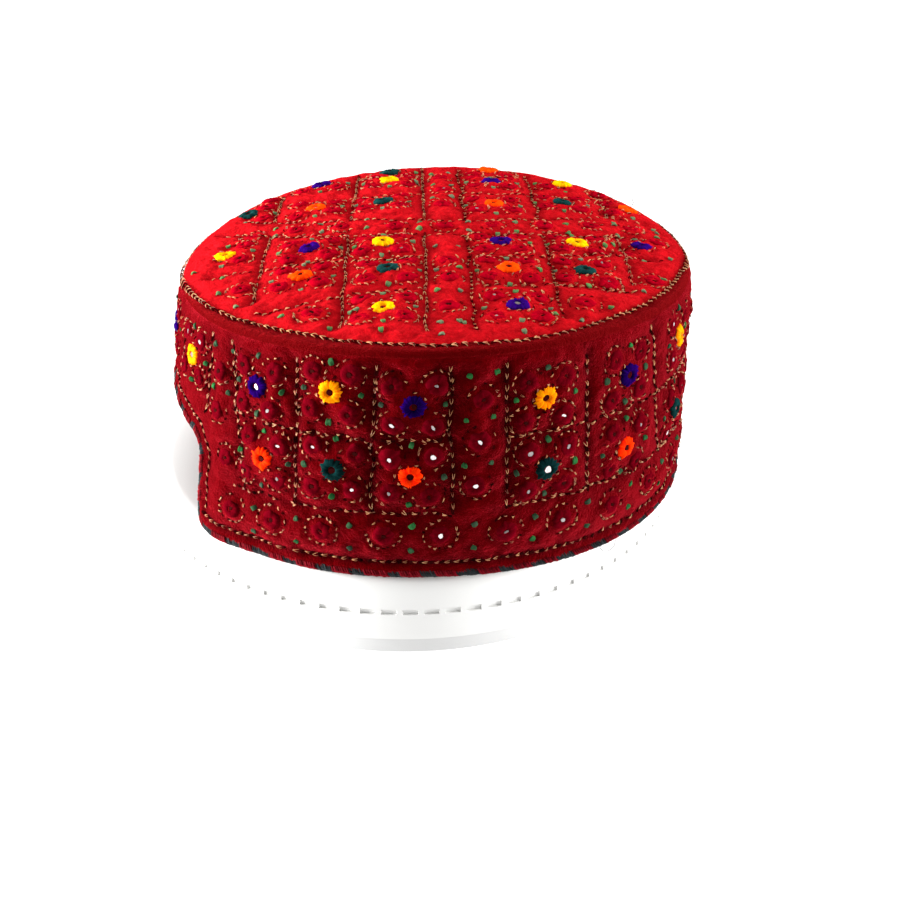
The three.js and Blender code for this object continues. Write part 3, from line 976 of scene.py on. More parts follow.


# painted shade: the wall's cloth is the crown's red cloth in a darker copy, darkened for the shade that the
# wall stands in
shadedWallRed = (0.074, 0.0001, 0.0005)
clothLooks = {
    "crown": {
        "name": "crownCloth", "deep": (0.24, 0.001, 0.003), "plain": (0.36, 0.001, 0.003),
        "bright": (0.76, 0.007, 0.014), "lining": (0.42, 0.02, 0.03), "skirt": shadedWallRed,
        "sheen": {"weight": 0.5, "roughness": 0.4, "tint": (1.0, 0.03, 0.04)},
        "nap": {"clump": 640.0, "patch": 260.0, "bump": 1.5},
    },
    "wall": {
        "name": "wallCloth", "deep": (0.018, 0.0001, 0.0004), "plain": shadedWallRed,
        "bright": (0.14, 0.0005, 0.002), "lining": (0.34, 0.018, 0.025), "skirt": shadedWallRed,
        "sheen": {"weight": 1.0, "roughness": 0.3, "tint": (1.0, 0.03, 0.055)},
        "nap": {"clump": 950.0, "patch": 180.0, "bump": 0.9},
    },
}
threadLooks = {  # dark and light are the two ends of a thread's colours; the wall's ring and knot threads are copies darkened as painted shade
    "gold": {
        "name": "goldThread", "dark": (0.3, 0.065, 0.018), "light": (0.72, 0.32, 0.12),
        "roughness": 0.42, "specular": 0.5, "sheen": 0.0,
    },
    "black": {
        "name": "blackThread", "dark": (0.012, 0.001, 0.001), "light": (0.035, 0.003, 0.003),
        "roughness": 0.85, "specular": 0.0, "sheen": 0.0,
    },
    # one ring thread in two copies: the wall's is darker, as painted shade
    "crownRing": {
        "name": "ringThreadCrownCopy", "dark": (0.17, 0.0003, 0.004), "light": (0.35, 0.0008, 0.009),
        "roughness": 0.9, "size": 2600.0, "bump": 0.3, "specular": 0.0,
    },
    "wallRing": {
        "name": "ringThreadShadedCopy", "dark": (0.05, 0.0003, 0.0015), "light": (0.105, 0.0008, 0.0045),
        "roughness": 0.9, "size": 2600.0, "bump": 0.3, "specular": 0.0,
    },
    # one knot thread in two copies: the crown's is lighter and greyer, with painted sheen in it, the wall's
    # darker, as painted shade
    "crownKnot": {
        "name": "knotThreadCrownCopy", "dark": (0.15, 0.16, 0.1), "light": (0.085, 0.2, 0.06),
        "specular": 0.0, "sheen": 0.04,
    },
    "wallKnot": {
        "name": "knotThreadShadedCopy", "dark": (0.035, 0.05, 0.035), "light": (0.02, 0.12, 0.03),
        "specular": 0.02, "sheen": 0.05,
    },
    "yellow_thread": {
        "name": "yellowThread", "dark": (0.93, 0.14, 0.0), "light": (1.0, 0.5, 0.0),
        "specular": 0.02, "paintedGlow": 0.2,
    },
    "green_thread": {
        "name": "darkGreenThread", "dark": (0.001, 0.009, 0.01), "light": (0.006, 0.036, 0.034),
        "specular": 0.0, "sheen": 0.04,
    },
    "navy_thread": {
        "name": "navyThread", "dark": (0.004, 0.0, 0.035), "light": (0.024, 0.002, 0.13),
        "specular": 0.0, "sheen": 0.04,
    },
    "orange_thread": {
        "name": "orangeThread", "dark": (0.95, 0.005, 0.0), "light": (1.0, 0.065, 0.0),
        "specular": 0.02, "paintedGlow": 0.2,
    },
    "edgeDark": {
        "name": "edgeDarkThread", "dark": (0.01, 0.012, 0.013), "light": (0.034, 0.038, 0.04),
        "roughness": 0.9, "size": 3200.0, "bump": 0.25, "specular": 0.0, "sheen": 0.05,
    },
    "edgeRed": {
        "name": "edgeRedThread", "dark": (0.07, 0.0003, 0.002), "light": (0.18, 0.001, 0.007),
        "roughness": 0.9, "size": 3200.0, "bump": 0.25,
    },
}
clothFinish = {cloth: clothMaterial(**look) for cloth, look in clothLooks.items()}
threads = {thread: flossMaterial(**look) for thread, look in threadLooks.items()}
mirrorGlass = mirrorMaterial()
whitePlastic = standMaterial()
print("materials ready")


# Cloth of the crown: a turned sheet with a rolled edge and a plain underside

crownSheet = {
    "around": 560,
    "rings": 88,
    "edgeDegrees": (18, 36, 54, 72, 90),  # steps of the rolled edge
    "underside": (0.5, 4, 10, 20, 34, 52, 72, 90),  # rings of the underside, in from the rim
}


def makeCrownCloth():
    around = crownSheet["around"]
    turn = 2 * math.pi * np.arange(around) / around
    nominal = capForm["crownHalf"][0]
    roll = capForm["edgeRadius"]
    # each ring's distance in from the rim, its share of the relief, and whether it is lining
    rows = [(inset, 1.0, 0.0) for inset in np.linspace(nominal * 0.996, roll, crownSheet["rings"])]
    for degrees in crownSheet["edgeDegrees"]:
        rows.append((roll * (1 - math.sin(math.radians(degrees))), 1 - degrees / 110, 0.0))
    rows += [(inset, 0.0, 1.0) for inset in crownSheet["underside"]]
    inset, lively, lining = np.array(rows).T
    under = np.where(inset > 2, lining, 0.0)  # the rolled edge keeps the colour of the outside
    radius = ovalRadius(turn, capForm["crownHalf"], 2.0)
    share = 1 - inset / nominal
    x = share[:, None] * radius[None] * np.sin(turn)[None]
    y = -share[:, None] * radius[None] * np.cos(turn)[None]
    points = np.where(lining[:, None, None] > 0, crownPoint(x, y, rolled=False), crownPoint(x, y))
    points[..., 2] += sampled("crown", "field", x, y) * lively[:, None]
    points[..., 2] -= capForm["crownThickness"] * lining[:, None]
    shade = sampled("crown", "shade", x, y) * lively[:, None]
    skirt = np.clip(ringInset(x, y) + 0.7 - inset[:, None], 0, 1)  # outside the rope it has the wall's red, with its painted shade
    faces = gridFaces(len(rows), around, wrapColumns=True)[:, ::-1]
    here, ahead = np.arange(around), (np.arange(around) + 1) % around
    fan = np.stack([np.full(around, len(rows) * around), here, ahead], -1)
    lastRow = (len(rows) - 1) * around
    underFan = np.stack([np.full(around, len(rows) * around + 1), lastRow + ahead, lastRow + here], -1)
    points = np.concatenate([points.reshape(-1, 3), [points[0].mean(axis=0), points[-1].mean(axis=0)]])
    addPiece(
        "crownCloth", "red_cloth", ["crown"], points, [faces, fan, underFan], clothFinish["crown"],
        pulled=np.concatenate([shade.ravel(), [0, 0]]),
        lining=np.concatenate([np.broadcast_to(under[:, None], shade.shape).ravel(), [0, 1]]),
        skirt=np.concatenate([skirt.ravel(), [0, 0]]),
    )


# Cloth of the wall: a grid with the notch left out, its border drawn onto the edge's line

def insideLine(u, v, line):
    # true where a place lies inside the closed line
    nextLine = np.roll(line, -1, axis=0)
    inside = np.zeros(u.shape, dtype=bool)
    for (firstU, firstV), (secondU, secondV) in zip(line, nextLine):
        if firstV != secondV:
            crosses = (firstV > v) != (secondV > v)
            at = (secondU - firstU) * (v - firstV) / (secondV - firstV) + firstU
            inside ^= crosses & (u < at)
    return inside


wallSheet = {
    "columns": 560,
    "rows": 70,
    "intoEdge": 1.3,  # the cloth reaches this far into the whipped edge
    "underRim": 1.9,
    "cutBelow": -6,  # the notch is cut from here, under the hem
    "calmWidth": 3.0,  # the relief fades this far from the cut edge
    "tuckDepth": 0.5,  # under the crown's rolled edge
    "tuckWidth": 2.2,
}


def makeWallCloth():
    columns, rows = wallSheet["columns"], wallSheet["rows"]
    beyond, below = wallSheet["intoEdge"], wallSheet["cutBelow"]
    low, high = notchForm["hemEdge"] - beyond, capForm["height"] - wallSheet["underRim"]
    along = -fullRound / 2 + fullRound * np.arange(columns) / columns
    u, v = np.meshgrid(along, np.linspace(low, high, rows))
    line = notchLine(beyond)
    opening = np.concatenate([line, [[line[-1, 0], below], [line[0, 0], below]]])
    stepU, stepV = fullRound / columns, (high - low) / (rows - 1)
    gone = insideLine(u[:-1] + stepU / 2, v[:-1] + stepV / 2, opening)
    quads = gridFaces(rows, columns, wrapColumns=True)
    kept, dropped = quads[~gone.ravel()], quads[gone.ravel()]
    border = np.intersect1d(kept.ravel(), dropped.ravel())
    flatU, flatV = u.ravel().copy(), v.ravel().copy()
    steps = np.linspace(0, len(line) - 1, 1500)
    dense = np.stack([np.interp(steps, np.arange(len(line)), line[:, axis]) for axis in (0, 1)], -1)
    distance = np.hypot(flatU[border, None] - dense[None, :, 0], flatV[border, None] - dense[None, :, 1])
    nearest = dense[distance.argmin(axis=1)]
    flatU[border], flatV[border] = nearest[:, 0], nearest[:, 1]
    used = np.unique(kept)
    order = np.full(rows * columns, -1)
    order[used] = np.arange(len(used))
    kept = order[kept]
    flatU, flatV = flatU[used], flatV[used]
    toNotch = np.full(len(flatU), 20.0)  # far from it
    close = (np.abs(flatU) < 80) & (flatV < 45)
    away = np.stack([flatU, flatV], -1)[close, None] - dense[None, ::5]
    toNotch[close] = np.linalg.norm(away, axis=-1).min(axis=1)
    toEdge = np.minimum(toNotch, flatV - low)
    lively = np.clip(toEdge / wallSheet["calmWidth"], 0.25, 1) * np.clip((high - flatV) / 1.5, 0, 1)
    tuck = wallSheet["tuckDepth"] * np.clip((flatV - high) / wallSheet["tuckWidth"] + 1, 0, 1) ** 2
    normal = clothNormal("wall", flatU, flatV)
    base = wallPoint(flatU, flatV)
    outer = base + normal * (sampled("wall", "field", flatU, flatV) * lively - tuck)[:, None]
    thickness = capForm["wallThickness"] - 1.3 * np.exp(-toEdge / 3.0)
    inner = base - normal * thickness[:, None]
    edges = np.concatenate([kept[:, [k, (k + 1) % 4]] for k in range(4)])
    keys = np.sort(edges, axis=1)
    _, first, counts = np.unique(keys, axis=0, return_index=True, return_counts=True)
    rim = edges[first[counts == 1]]
    count = len(used)
    sides = np.stack([rim[:, 1], rim[:, 0], rim[:, 0] + count, rim[:, 1] + count], -1)
    addPiece(
        "wallCloth", "red_cloth", ["side_band"], np.concatenate([outer, inner]),
        [kept, kept[:, ::-1] + count, sides], clothFinish["wall"],
        pulled=np.concatenate([sampled("wall", "shade", flatU, flatV) * lively, np.zeros(count)]),
        lining=np.concatenate([np.zeros(count), np.ones(count)]),
    )


makeCrownCloth()
makeWallCloth()
print("cloth made")


# Chain stitches, gold links over black ones

linkShapes = {
    "gold": {
        "ahead": (-0.27, -0.12, 0.10, 0.27, 0.10, -0.12, -0.27),
        "pointed": (1.0, 0.68, 0.32, 0, -0.32, -0.68, -1.0),
        "round": (0.85, 0.95, 0.62, 0, -0.62, -0.95, -0.85),
        "rise": (-0.35, 0.2, 0.35, 0.3, 0.35, 0.2, -0.35),
    },
    "black": {
        "ahead": (-0.3, -0.06, 0.2, 0.2, -0.06, -0.3),
        "pointed": (0.6, 0.6, 0.25, -0.25, -0.6, -0.6),
        "round": (0.6, 0.85, 0.5, -0.5, -0.85, -0.6),
        "rise": (-0.25, 0.1, 0.18, 0.18, 0.1, -0.25),
    },
}


def planLinks(cloth, colour):
    # place, direction and measures of every link of one colour
    lots = []
    for chain in chains:
        if chain["cloth"] != cloth:
            continue
        style = chainStyles[chain["style"]]
        place, turn = evenly(chain["line"], style["pitch"], chain["closed"])
        rows = style["rows"]
        for share in [0.0] if colour == "gold" else [(row + 1) / (rows + 1) for row in range(rows)]:
            count = len(place)
            ahead = share * style["pitch"] + hand.normal(0, 0.12 + 0.25 * style["loose"], count)
            lean = turn + hand.normal(0, 0.1 + 0.3 * style["loose"], count)
            lot = np.zeros((count, 8))
            lot[:, 0] = place[:, 0] + np.cos(turn) * ahead + hand.normal(0, 0.08, count)
            lot[:, 1] = place[:, 1] + np.sin(turn) * ahead + hand.normal(0, 0.08, count)
            lot[:, 2] = lean
            lot[:, 3:] = [style[key] for key in ("half", colour, "lift", "pitch", "loose")]
            lot[:, 4] *= crownThread[colour] if cloth == "crown" else 1.0
            lots.append(lot[hand.random(count) > style["gaps"]])
    return np.concatenate(lots).T[:, :, None]


def makeChains():
    sides = 4
    for cloth in ("crown", "wall"):
        for colour, slot in (("gold", "yellow_thread"), ("black", "edge_thread")):
            u, v, lean, half, thick, lift, pitch, loose = planLinks(cloth, colour)
            shape = {key: np.array(values) for key, values in linkShapes[colour].items()}
            bend = hand.uniform(0, 1, u.shape)
            size = hand.normal(1, 0.1, u.shape).clip(0.7, 1.3)
            spread = half * (1 - loose * hand.uniform(0, 1, u.shape))
            ahead = shape["ahead"] * pitch * size
            across = spread * size * ((1 - bend) * shape["pointed"] + bend * shape["round"])
            placeU = u + np.cos(lean) * ahead - np.sin(lean) * across
            placeV = v + np.sin(lean) * ahead + np.cos(lean) * across
            middles, normal = onCloth(cloth, placeU, placeV, lift + shape["rise"])
            swell = np.linspace(-1, 1, ahead.shape[1]) ** 2
            radii = thick * (1.05 - 0.3 * swell) * hand.normal(1, 0.12, u.shape).clip(0.6, 1.4)
            points, faceSets = tubes(middles, normal, radii, sides, flat=0.85)
            tint = np.repeat(hand.uniform(0, 1, len(u)), ahead.shape[1] * sides)
            name = f"{cloth}{colour.title()}Stitches"
            addPiece(name, slot, [], points, faceSets, threads[colour], tint=tint)


makeChains()
print("chains sewn")


# Ringed circles, rosettes and mirrors

def stitchedRings(items, profile, columns, ridge):
    # profile is a closed line of (radius, lift); radius is a share of each item's size
    count, rows = len(items), len(profile)
    share, lift = np.array(profile).T
    turn = 2 * math.pi * np.arange(columns) / columns
    size = np.array([item["size"] for item in items])
    radius = size[:, None, None] * share[:, None] * np.ones(columns)
    outer = (share > 0.8)[:, None]
    uneven = hand.normal(0, 1, (count, 1, columns)).repeat(rows, axis=1)
    radius *= 1 + np.where(outer, ridge["jag"] * uneven, 0)
    corner = turn + hand.uniform(0, 2 * math.pi, (count, 1, 1))
    eighth = math.pi / 4
    flatSided = math.cos(eighth / 2) / np.cos(np.mod(corner, eighth) - eighth / 2)
    radius *= 1 + np.where(outer, ridge["corners"] * (flatSided - 1), 0)
    comb = np.where(np.arange(columns) % 2, 1.0, -1.0)
    height = lift[:, None] + ridge["comb"] * comb * (lift > 0.1)[:, None] + 0 * radius
    height += ridge["comb"] * 0.5 * uneven * (lift > 0.1)[:, None]
    shape = (count, rows, columns)
    middleU = np.array([item["u"] for item in items])[:, None, None]
    middleV = np.array([item["v"] for item in items])[:, None, None]
    u, v = middleU + radius * np.cos(turn), middleV + radius * np.sin(turn)
    cloth = items[0]["cloth"]
    normal = clothNormal(cloth, u, v)
    level = 0.6 * sampled(cloth, "field", u, v) + 0.4 * sampled(cloth, "field", middleU, middleV)
    points = cloths[cloth](u, v) + normal * (level + height)[..., None]
    faces = gridFaces(rows, columns, wrapRows=True, wrapColumns=True)
    tint = np.clip(0.5 + 0.25 * uneven + 0.2 * comb, 0, 1) * np.ones(shape)
    return points.reshape(-1, 3), [copiesOf(faces, count, rows * columns)], tint.ravel()


mirrorForm = {
    "sides": 11,
    "uneven": 0.11,
    "lean": 0.13,
    "thickness": 0.4,
    "crownSink": 0.12,  # the crown's mirrors lie this much deeper
    "kinds": (  # half the width from and to, and the height over the cloth
        ("small", circles, (0.55, 0.86), 0.24),
        ("large", rosettes, (0.95, 1.15), 0.3),
    ),
}


def discs(items, lift):
    # small uneven plates, each with its own outline and lean
    count, sides = len(items), mirrorForm["sides"]
    cloth = items[0]["cloth"]
    turn = 2 * math.pi * np.arange(sides) / sides
    size = np.array([item["mirror"] for item in items])[:, None]
    size = size * hand.normal(1, mirrorForm["uneven"], (count, sides)).clip(0.7, 1.25)
    along, across = size * np.cos(turn), size * np.sin(turn) * hand.uniform(0.5, 1.0, (count, 1))
    grain = hand.uniform(0, math.pi, (count, 1))
    shiftU, shiftV = hand.normal(0, 0.12, (2, count, 1))
    middleU = np.array([item["u"] for item in items])[:, None] + shiftU
    middleV = np.array([item["v"] for item in items])[:, None] + shiftV
    u = middleU + np.cos(grain) * along - np.sin(grain) * across
    v = middleV + np.sin(grain) * along + np.cos(grain) * across
    leanU, leanV = hand.normal(0, mirrorForm["lean"], (2, count, 1))
    rise = leanU * (u - middleU) + leanV * (v - middleV)
    middle, normal = onCloth(cloth, middleU, middleV, np.array(lift))
    top = cloths[cloth](u, v)
    top += normal * (((middle - top) * normal).sum(-1, keepdims=True) + rise[..., None])
    under = top - normal * mirrorForm["thickness"]
    points = np.stack([top, under], 1).reshape(-1, 3)
    face = np.arange(sides)[None]
    ahead = (np.arange(sides) + 1) % sides
    wall = np.stack([np.arange(sides), sides + np.arange(sides), sides + ahead, ahead], -1)
    faceSets = [copiesOf(part, count, 2 * sides) for part in (face, face[:, ::-1] + sides, wall)]
    bright = np.repeat([item["bright"] for item in items], 2 * sides)
    return points, faceSets, bright


circleForm = {
    "profile": ((0.24, 0.0), (0.34, 0.26), (0.62, 0.28), (0.95, 0.0), (0.9, -0.4), (0.28, -0.5)),
    "columns": 18,
    "ridge": {"jag": 0.07, "corners": 0.4, "comb": 0.08},
}
rosetteForm = {
    "size": 3.55,
    "profile": (
        (0.3, 0.0), (0.36, 0.48), (0.5, 0.76), (0.76, 0.7), (0.97, 0.35), (1.03, -0.1), (0.8, -0.4),
        (0.3, -0.4),
    ),
    "columns": 64,
    "ridge": {"jag": 0.085, "corners": 0.9, "comb": 0.16},
    "lightAndShadeShift": {"crown": 0.28, "wall": -0.28},  # painted light and shade: the crown's rosettes are made lighter, the wall's darker
}


def makeCircles():
    form = circleForm
    for cloth in ("crown", "wall"):
        items = [circle for circle in circles if circle["cloth"] == cloth]
        points, faceSets, tint = stitchedRings(items, form["profile"], form["columns"], form["ridge"])
        addPiece(f"{cloth}Circles", "red_cloth", [], points, faceSets, threads[f"{cloth}Ring"], tint=tint)


def makeRosettes():
    form = rosetteForm
    for slot in ("yellow_thread", "green_thread", "navy_thread", "orange_thread"):
        parts = []
        nodes = []
        for cloth in ("crown", "wall"):
            items = [rosette for rosette in rosettes if rosette["cloth"] == cloth and rosette["slot"] == slot]
            for item in items:
                item["size"] = form["size"] * hand.uniform(0.97, 1.05)
                nodes.append(item["node"])
            ring, faceSets, tint = stitchedRings(items, form["profile"], form["columns"], form["ridge"])
            # painted light on the crown's rosettes, painted shade on the wall's
            parts.append((ring, faceSets, np.clip(tint + form["lightAndShadeShift"][cloth], 0, 1)))
        points, faceSets, tint = joined(parts)
        name = slot.split("_")[0] + "Rosettes"
        addPiece(name, slot, nodes, points, faceSets, threads[slot], tint=tint)


def mirrorShares(cloth, kind, u):
    # how many are clear, and how many clear or half clear; the others are painted dark, a painted dark
    # reflection. Clear ones are likeliest round 91 degrees from the notch, and on the crown nearly all are
    # painted dark
    if cloth == "crown":
        return 0.02, 0.15
    middle = hump(abs(abs(u) / perDegree - 91), 21, 4)
    return (0.06 + 0.42 * middle, 0.3 + 0.35 * middle) if kind == "small" else (0.1, 0.2)


def makeMirrors():
    parts = []
    for cloth in ("crown", "wall"):
        for kind, found, reach, lift in mirrorForm["kinds"]:
            items = [dict(item) for item in found if item["cloth"] == cloth]
            for item in items:
                clear, half = mirrorShares(cloth, kind, item["u"])
                chance = hand.random()
                item["mirror"] = hand.uniform(*reach)
                # painted dark reflection where bright is 0, and partly so where it is between
                item["bright"] = 1.0 if chance < clear else hand.uniform(0.15, 0.5) if chance < half else 0.0
            parts.append(discs(items, lift if cloth == "wall" else lift - mirrorForm["crownSink"]))
    points, faceSets, bright = joined(parts)
    addPiece("mirrors", "white_plastic", [], points, faceSets, mirrorGlass, sharp=40, tint=bright)


makeCircles()
makeRosettes()
makeMirrors()
print("rosettes and mirrors made")


# Green knots: a few short threads side by side

knotForm = {
    "strands": 4,
    "sides": 4,
    "length": (0.72, 1.2),
    "width": 0.6,
    "rise": 0.55,
    "radii": (0.18, 0.28, 0.32, 0.28, 0.18),
    "greener": 0.45,  # the share of them in the greener of their two colours; the others are greyer
}


def makeKnots():
    form = knotForm
    strands, sides, steps = form["strands"], form["sides"], len(form["radii"])
    for cloth in ("crown", "wall"):
        items = [knot for knot in knots if knot["cloth"] == cloth]
        count = len(items)
        u = np.array([item["u"] for item in items])[:, None, None]
        v = np.array([item["v"] for item in items])[:, None, None]
        turn = np.array([item["turn"] for item in items])[:, None, None]
        length = hand.uniform(*form["length"], (count, 1, 1)) * hand.uniform(0.8, 1.1, (count, strands, 1))
        across = np.linspace(-form["width"], form["width"], strands)[None, :, None]
        across = across * hand.uniform(0.8, 1.15, (count, 1, 1))
        ahead = np.linspace(-1, 1, steps)[None, None]
        narrow = 1 - 0.35 * ahead ** 2
        placeU = u + np.cos(turn) * ahead * length - np.sin(turn) * across * narrow
        placeV = v + np.sin(turn) * ahead * length + np.cos(turn) * across * narrow
        lift = form["rise"] * (1 - ahead ** 4) - 0.1 + 0 * placeU
        flat = [values.reshape(-1, steps) for values in (placeU, placeV, lift)]
        middles, normal = onCloth(cloth, *flat)
        radii = np.array(form["radii"])[None] * np.ones((count * strands, 1))
        points, faceSets = tubes(middles, normal, radii, sides)
        greener = hand.random(count) < form["greener"]
        tint = np.where(greener, hand.uniform(0.6, 1.0, count), hand.uniform(0.0, 0.4, count))
        tint = np.repeat(tint, strands * steps * sides)
        addPiece(f"{cloth}Knots", "green_thread", [], points, faceSets, threads[f"{cloth}Knot"], tint=tint)


makeKnots()
print("knots made")


# Whipped edge: thread after thread over the cut edge, in blocks of dark and red

edgeForm = {
    "spacing": 0.78,
    "thread": 0.48,
    "darkBlock": 5.2,
    "redBlock": 5.6,
    "middle": 1.2,  # the bend's middle, out of the cloth's cut edge
    "reach": 1.3,
    "half": 1.4,  # half the wrapped thickness
    "slant": 4.2,
    "sides": 5,
    "turns": (  # a thread's way over the edge: degrees, how far it draws back, and its share of the radius
        (-12, 0.7, 0.6), (20, 0.1, 0.9), (55, 0, 1), (90, 0, 1), (125, 0, 1), (160, 0.1, 0.9),
        (186, 0.7, 0.6),
    ),
}


def makeWhippedEdge():
    form = edgeForm
    line = edgeLoop(form["middle"])
    place, turn = evenly(line, form["spacing"], closed=True)
    count = len(place)
    outU, outV = np.sin(turn), -np.cos(turn)
    degrees, deeper, swell = np.array(form["turns"], dtype=float).T[:, None]
    bend = np.radians(degrees)
    reach = form["reach"] * hand.normal(1, 0.05, (count, 1))
    away = reach * np.sin(bend) - deeper
    depth = 0.95 - form["half"] * np.cos(bend) * hand.normal(1, 0.05, (count, 1))
    ahead = form["slant"] * (bend / math.pi - 0.5) + hand.normal(0, 0.08, (count, 1))
    u = place[:, :1] + outU[:, None] * away + np.cos(turn)[:, None] * ahead
    v = place[:, 1:] + outV[:, None] * away + np.sin(turn)[:, None] * ahead
    lengths = np.arange(count) * form["spacing"] + hand.normal(0, 0.5, count)
    blocks = np.cumsum(np.tile([form["darkBlock"], form["redBlock"]], 60) * hand.uniform(0.85, 1.2, 120))
    dark = np.searchsorted(blocks, lengths) % 2 == 0
    depth[:, :2] += np.where(dark[:, None], [0.85, 0.25], [0.4, 0.0])  # the dark threads are sewn lower down
    middles = wallPoint(u, v) - clothNormal("wall", u, v) * depth[..., None]
    for name, chosen in (("Dark", dark), ("Red", ~dark)):
        runs = np.stack([np.cos(turn), np.sin(turn)], -1)[chosen]
        nextU, nextV = u[chosen] + runs[:, :1], v[chosen] + runs[:, 1:]
        alongEdge = wallPoint(nextU, nextV) - wallPoint(u[chosen], v[chosen])
        radii = form["thread"] * hand.normal(1, 0.08, (chosen.sum(), 1)) * swell
        points, faceSets = tubes(middles[chosen], alongEdge, radii, form["sides"])
        tint = np.repeat(hand.uniform(0, 1, chosen.sum()), len(form["turns"]) * form["sides"])
        nodes = ["edge_cord"] if name == "Dark" else []
        material = threads[f"edge{name}"]
        addPiece(f"whippedEdge{name}", "edge_thread", nodes, points, faceSets, material, tint=tint)


makeWhippedEdge()
print("edge whipped")


# Two loose thread ends: a loop that hangs from the hem, and an end on the crown's far rim

looseForm = {"radius": 0.11, "steps": 14, "sides": 5}
looseThreads = {
    "hemLoop": {
        "cloth": "wall",
        "thread": "edgeDark",
        "u": np.array([203.0, 204.0, 206.0, 208.5, 210.5]),
        "v": np.array([1.0, -0.3, -0.9, -0.2, 1.2]),
        "lift": np.array([1.6, 2.4, 2.8, 2.7, 1.8]),
    },
    "rimEnd": {
        "cloth": "crown",
        "thread": "black",
        "u": np.array([-39.0, -40.5, -42.0, -43.5]),
        "v": np.array([74.0, 75.0, 75.6, 75.0]),
        "lift": np.array([0.6, 1.4, 2.4, 3.4]),
    },
}


def makeLooseThreads():
    for name, thread in looseThreads.items():
        marks = np.arange(len(thread["u"]))
        steps = np.linspace(0, marks[-1], looseForm["steps"])
        u, v, lift = (np.interp(steps, marks, thread[key])[None] for key in ("u", "v", "lift"))
        middles, normal = onCloth(thread["cloth"], u, v, lift)
        points, faceSets = tubes(middles, normal, looseForm["radius"], looseForm["sides"])
        material = threads[thread["thread"]]
        addPiece(name, "edge_thread", [], points, faceSets, material, tint=np.ones(len(points)))


makeLooseThreads()
print("loose ends made")


# Stand: a moulded plinth with a row of slots round its skirt

standForm = {
    "slots": 90,
    "slotDepth": 0.75,
    "slotLow": 16.8,
    "slotHigh": 18.7,
    "slotLip": 0.08,  # the cut starts this far inside the slot's edges
    "slotShares": (0.0, 0.02, 0.2, 0.38, 0.56, 0.73, 0.75, 0.87),  # steps of one slot and its bar
    "barFrom": 0.74,
    "radius": 97.0,
    "footRadius": 94.5,
    "footHeight": 7.0,
    "topRadius": 92.5,
    "height": 30.0,
}


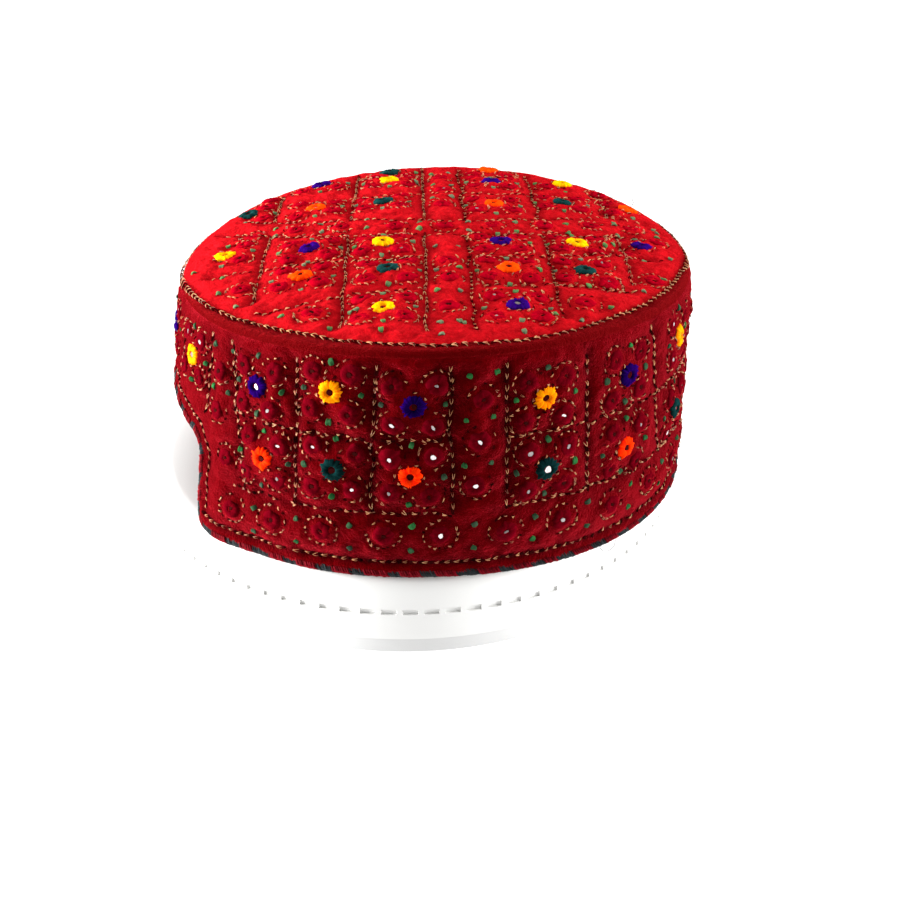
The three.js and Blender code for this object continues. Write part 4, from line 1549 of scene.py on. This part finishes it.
def makeStand():
    form = standForm
    radius, foot, low, high = form["radius"], form["footRadius"], form["slotLow"], form["slotHigh"]
    rise, top = form["footHeight"], form["height"]
    slotRows = [low + form["slotLip"], (low + high) / 2, high - form["slotLip"]]
    profile = [
        (foot - 6, 0), (foot - 0.9, 0), (foot - 0.25, 0.25), (foot, 0.9), (foot, 3.5), (foot, rise - 0.05),
        (foot + 0.1, rise), (radius - 0.5, rise), (radius - 0.1, rise + 0.15), (radius + 0.02, rise + 0.6),
        (radius + 0.15, 10), (radius + 0.25, 13.5), (radius + 0.3, low - 0.35), (radius + 0.22, low),
        (radius + 0.2, slotRows[0]), (radius + 0.15, slotRows[1]), (radius + 0.08, slotRows[2]),
        (radius + 0.06, high), (radius, high + 0.35), (radius - 0.3, 22), (radius - 0.8, top - 5),
        (radius - 1.4, top - 2.4), (radius - 2.1, top - 1.4), (radius - 3.0, top - 0.6),
        (form["topRadius"], top), (form["topRadius"] - 4, top), (60, top), (25, top),
    ]
    shares = np.array(form["slotShares"])
    inSlot = (shares > 0) & (shares < form["barFrom"])
    turn = (2 * math.pi / form["slots"] * (np.arange(form["slots"])[:, None] + shares[None])).ravel()
    cut = np.tile(inSlot, form["slots"])
    radii, heights = np.array(profile, dtype=float).T
    deep = np.isin(heights, slotRows)[:, None] & cut[None]
    radial = radii[:, None] - form["slotDepth"] * deep
    points = np.stack([
        radial * np.sin(turn), -radial * np.cos(turn), np.broadcast_to(heights[:, None], radial.shape),
    ], -1)
    faces = gridFaces(len(profile), len(turn), wrapColumns=True)
    under = np.arange(len(turn))[None, ::-1]
    top = (len(profile) - 1) * len(turn) + np.arange(len(turn))[None]
    paintedFootShade = np.broadcast_to(np.where(heights < rise + 0.1, 1.0, 0.0)[:, None], radial.shape)
    addPiece(
        "standShell", "white_plastic", ["stand"], points, [faces, under, top], whitePlastic, sharp=38,
        foot=paintedFootShade,  # painted shade: the recessed foot is coloured darker
    )


makeStand()
print("stand made")


# Floor and studio light

def makeFloor():
    material, tree, shader = newMaterial("paleFloor", 0.9)
    wool = addNode(tree, "ShaderNodeGroup", (-900, 0))
    wool.node_tree = woolGroup
    wool.inputs["Patch Size"].default_value = 3.0
    colour = mixedColour(tree, (-500, 100), wool.outputs["Patch"], (0.24, 0.24, 0.24), (0.28, 0.28, 0.28))
    tree.links.new(colour, shader.inputs["Base Color"])
    shader.inputs["Emission Color"].default_value = (1, 1, 1, 1)  # it glows white, so no shadow shows
    shader.inputs["Emission Strength"].default_value = 1.0
    shader.inputs["Specular IOR Level"].default_value = 0.0
    half, level = 4000.0, -0.2
    corners = [(-half, -half, level), (half, -half, level), (half, half, level), (-half, half, level)]
    floor = makeMesh("floor", corners, [np.array([[0, 1, 2, 3]])], material)


studioForm = {  # in metres
    "world": 0.36,
    "aim": (0, 0, 0.08),
    "lights": (  # name, place, width and power
        ("overhead", (-0.35, 0.15, 1.5), 1.3, 26.5),
        ("leftSide", (0.0, -1.3, 0.13), 0.6, 104),
        ("rightSide", (0.12, 1.3, 0.3), 0.6, 34),
    ),
}


def makeLight(name, place, size, power):
    data = bpy.data.lights.new(name, "AREA")
    data.shape = "DISK"
    data.size = size
    data.energy = power
    light = bpy.data.objects.new(name, data)
    bpy.context.scene.collection.objects.link(light)
    light.location = place
    towards = Vector(studioForm["aim"]) - Vector(place)
    light.rotation_euler = towards.to_track_quat("-Z", "Y").to_euler()


def makeStudio():
    makeFloor()
    world = bpy.data.worlds.new("studio")
    world.use_nodes = True
    background = world.node_tree.nodes["Background"]
    background.inputs["Color"].default_value = (1, 1, 1, 1)
    background.inputs["Strength"].default_value = studioForm["world"]
    bpy.context.scene.world = world
    for light in studioForm["lights"]:
        makeLight(*light)
    bpy.context.scene.view_settings.view_transform = "Standard"


makeStudio()
print("studio ready")
print("triangles", triangleCount, sum(triangleCount.values()))
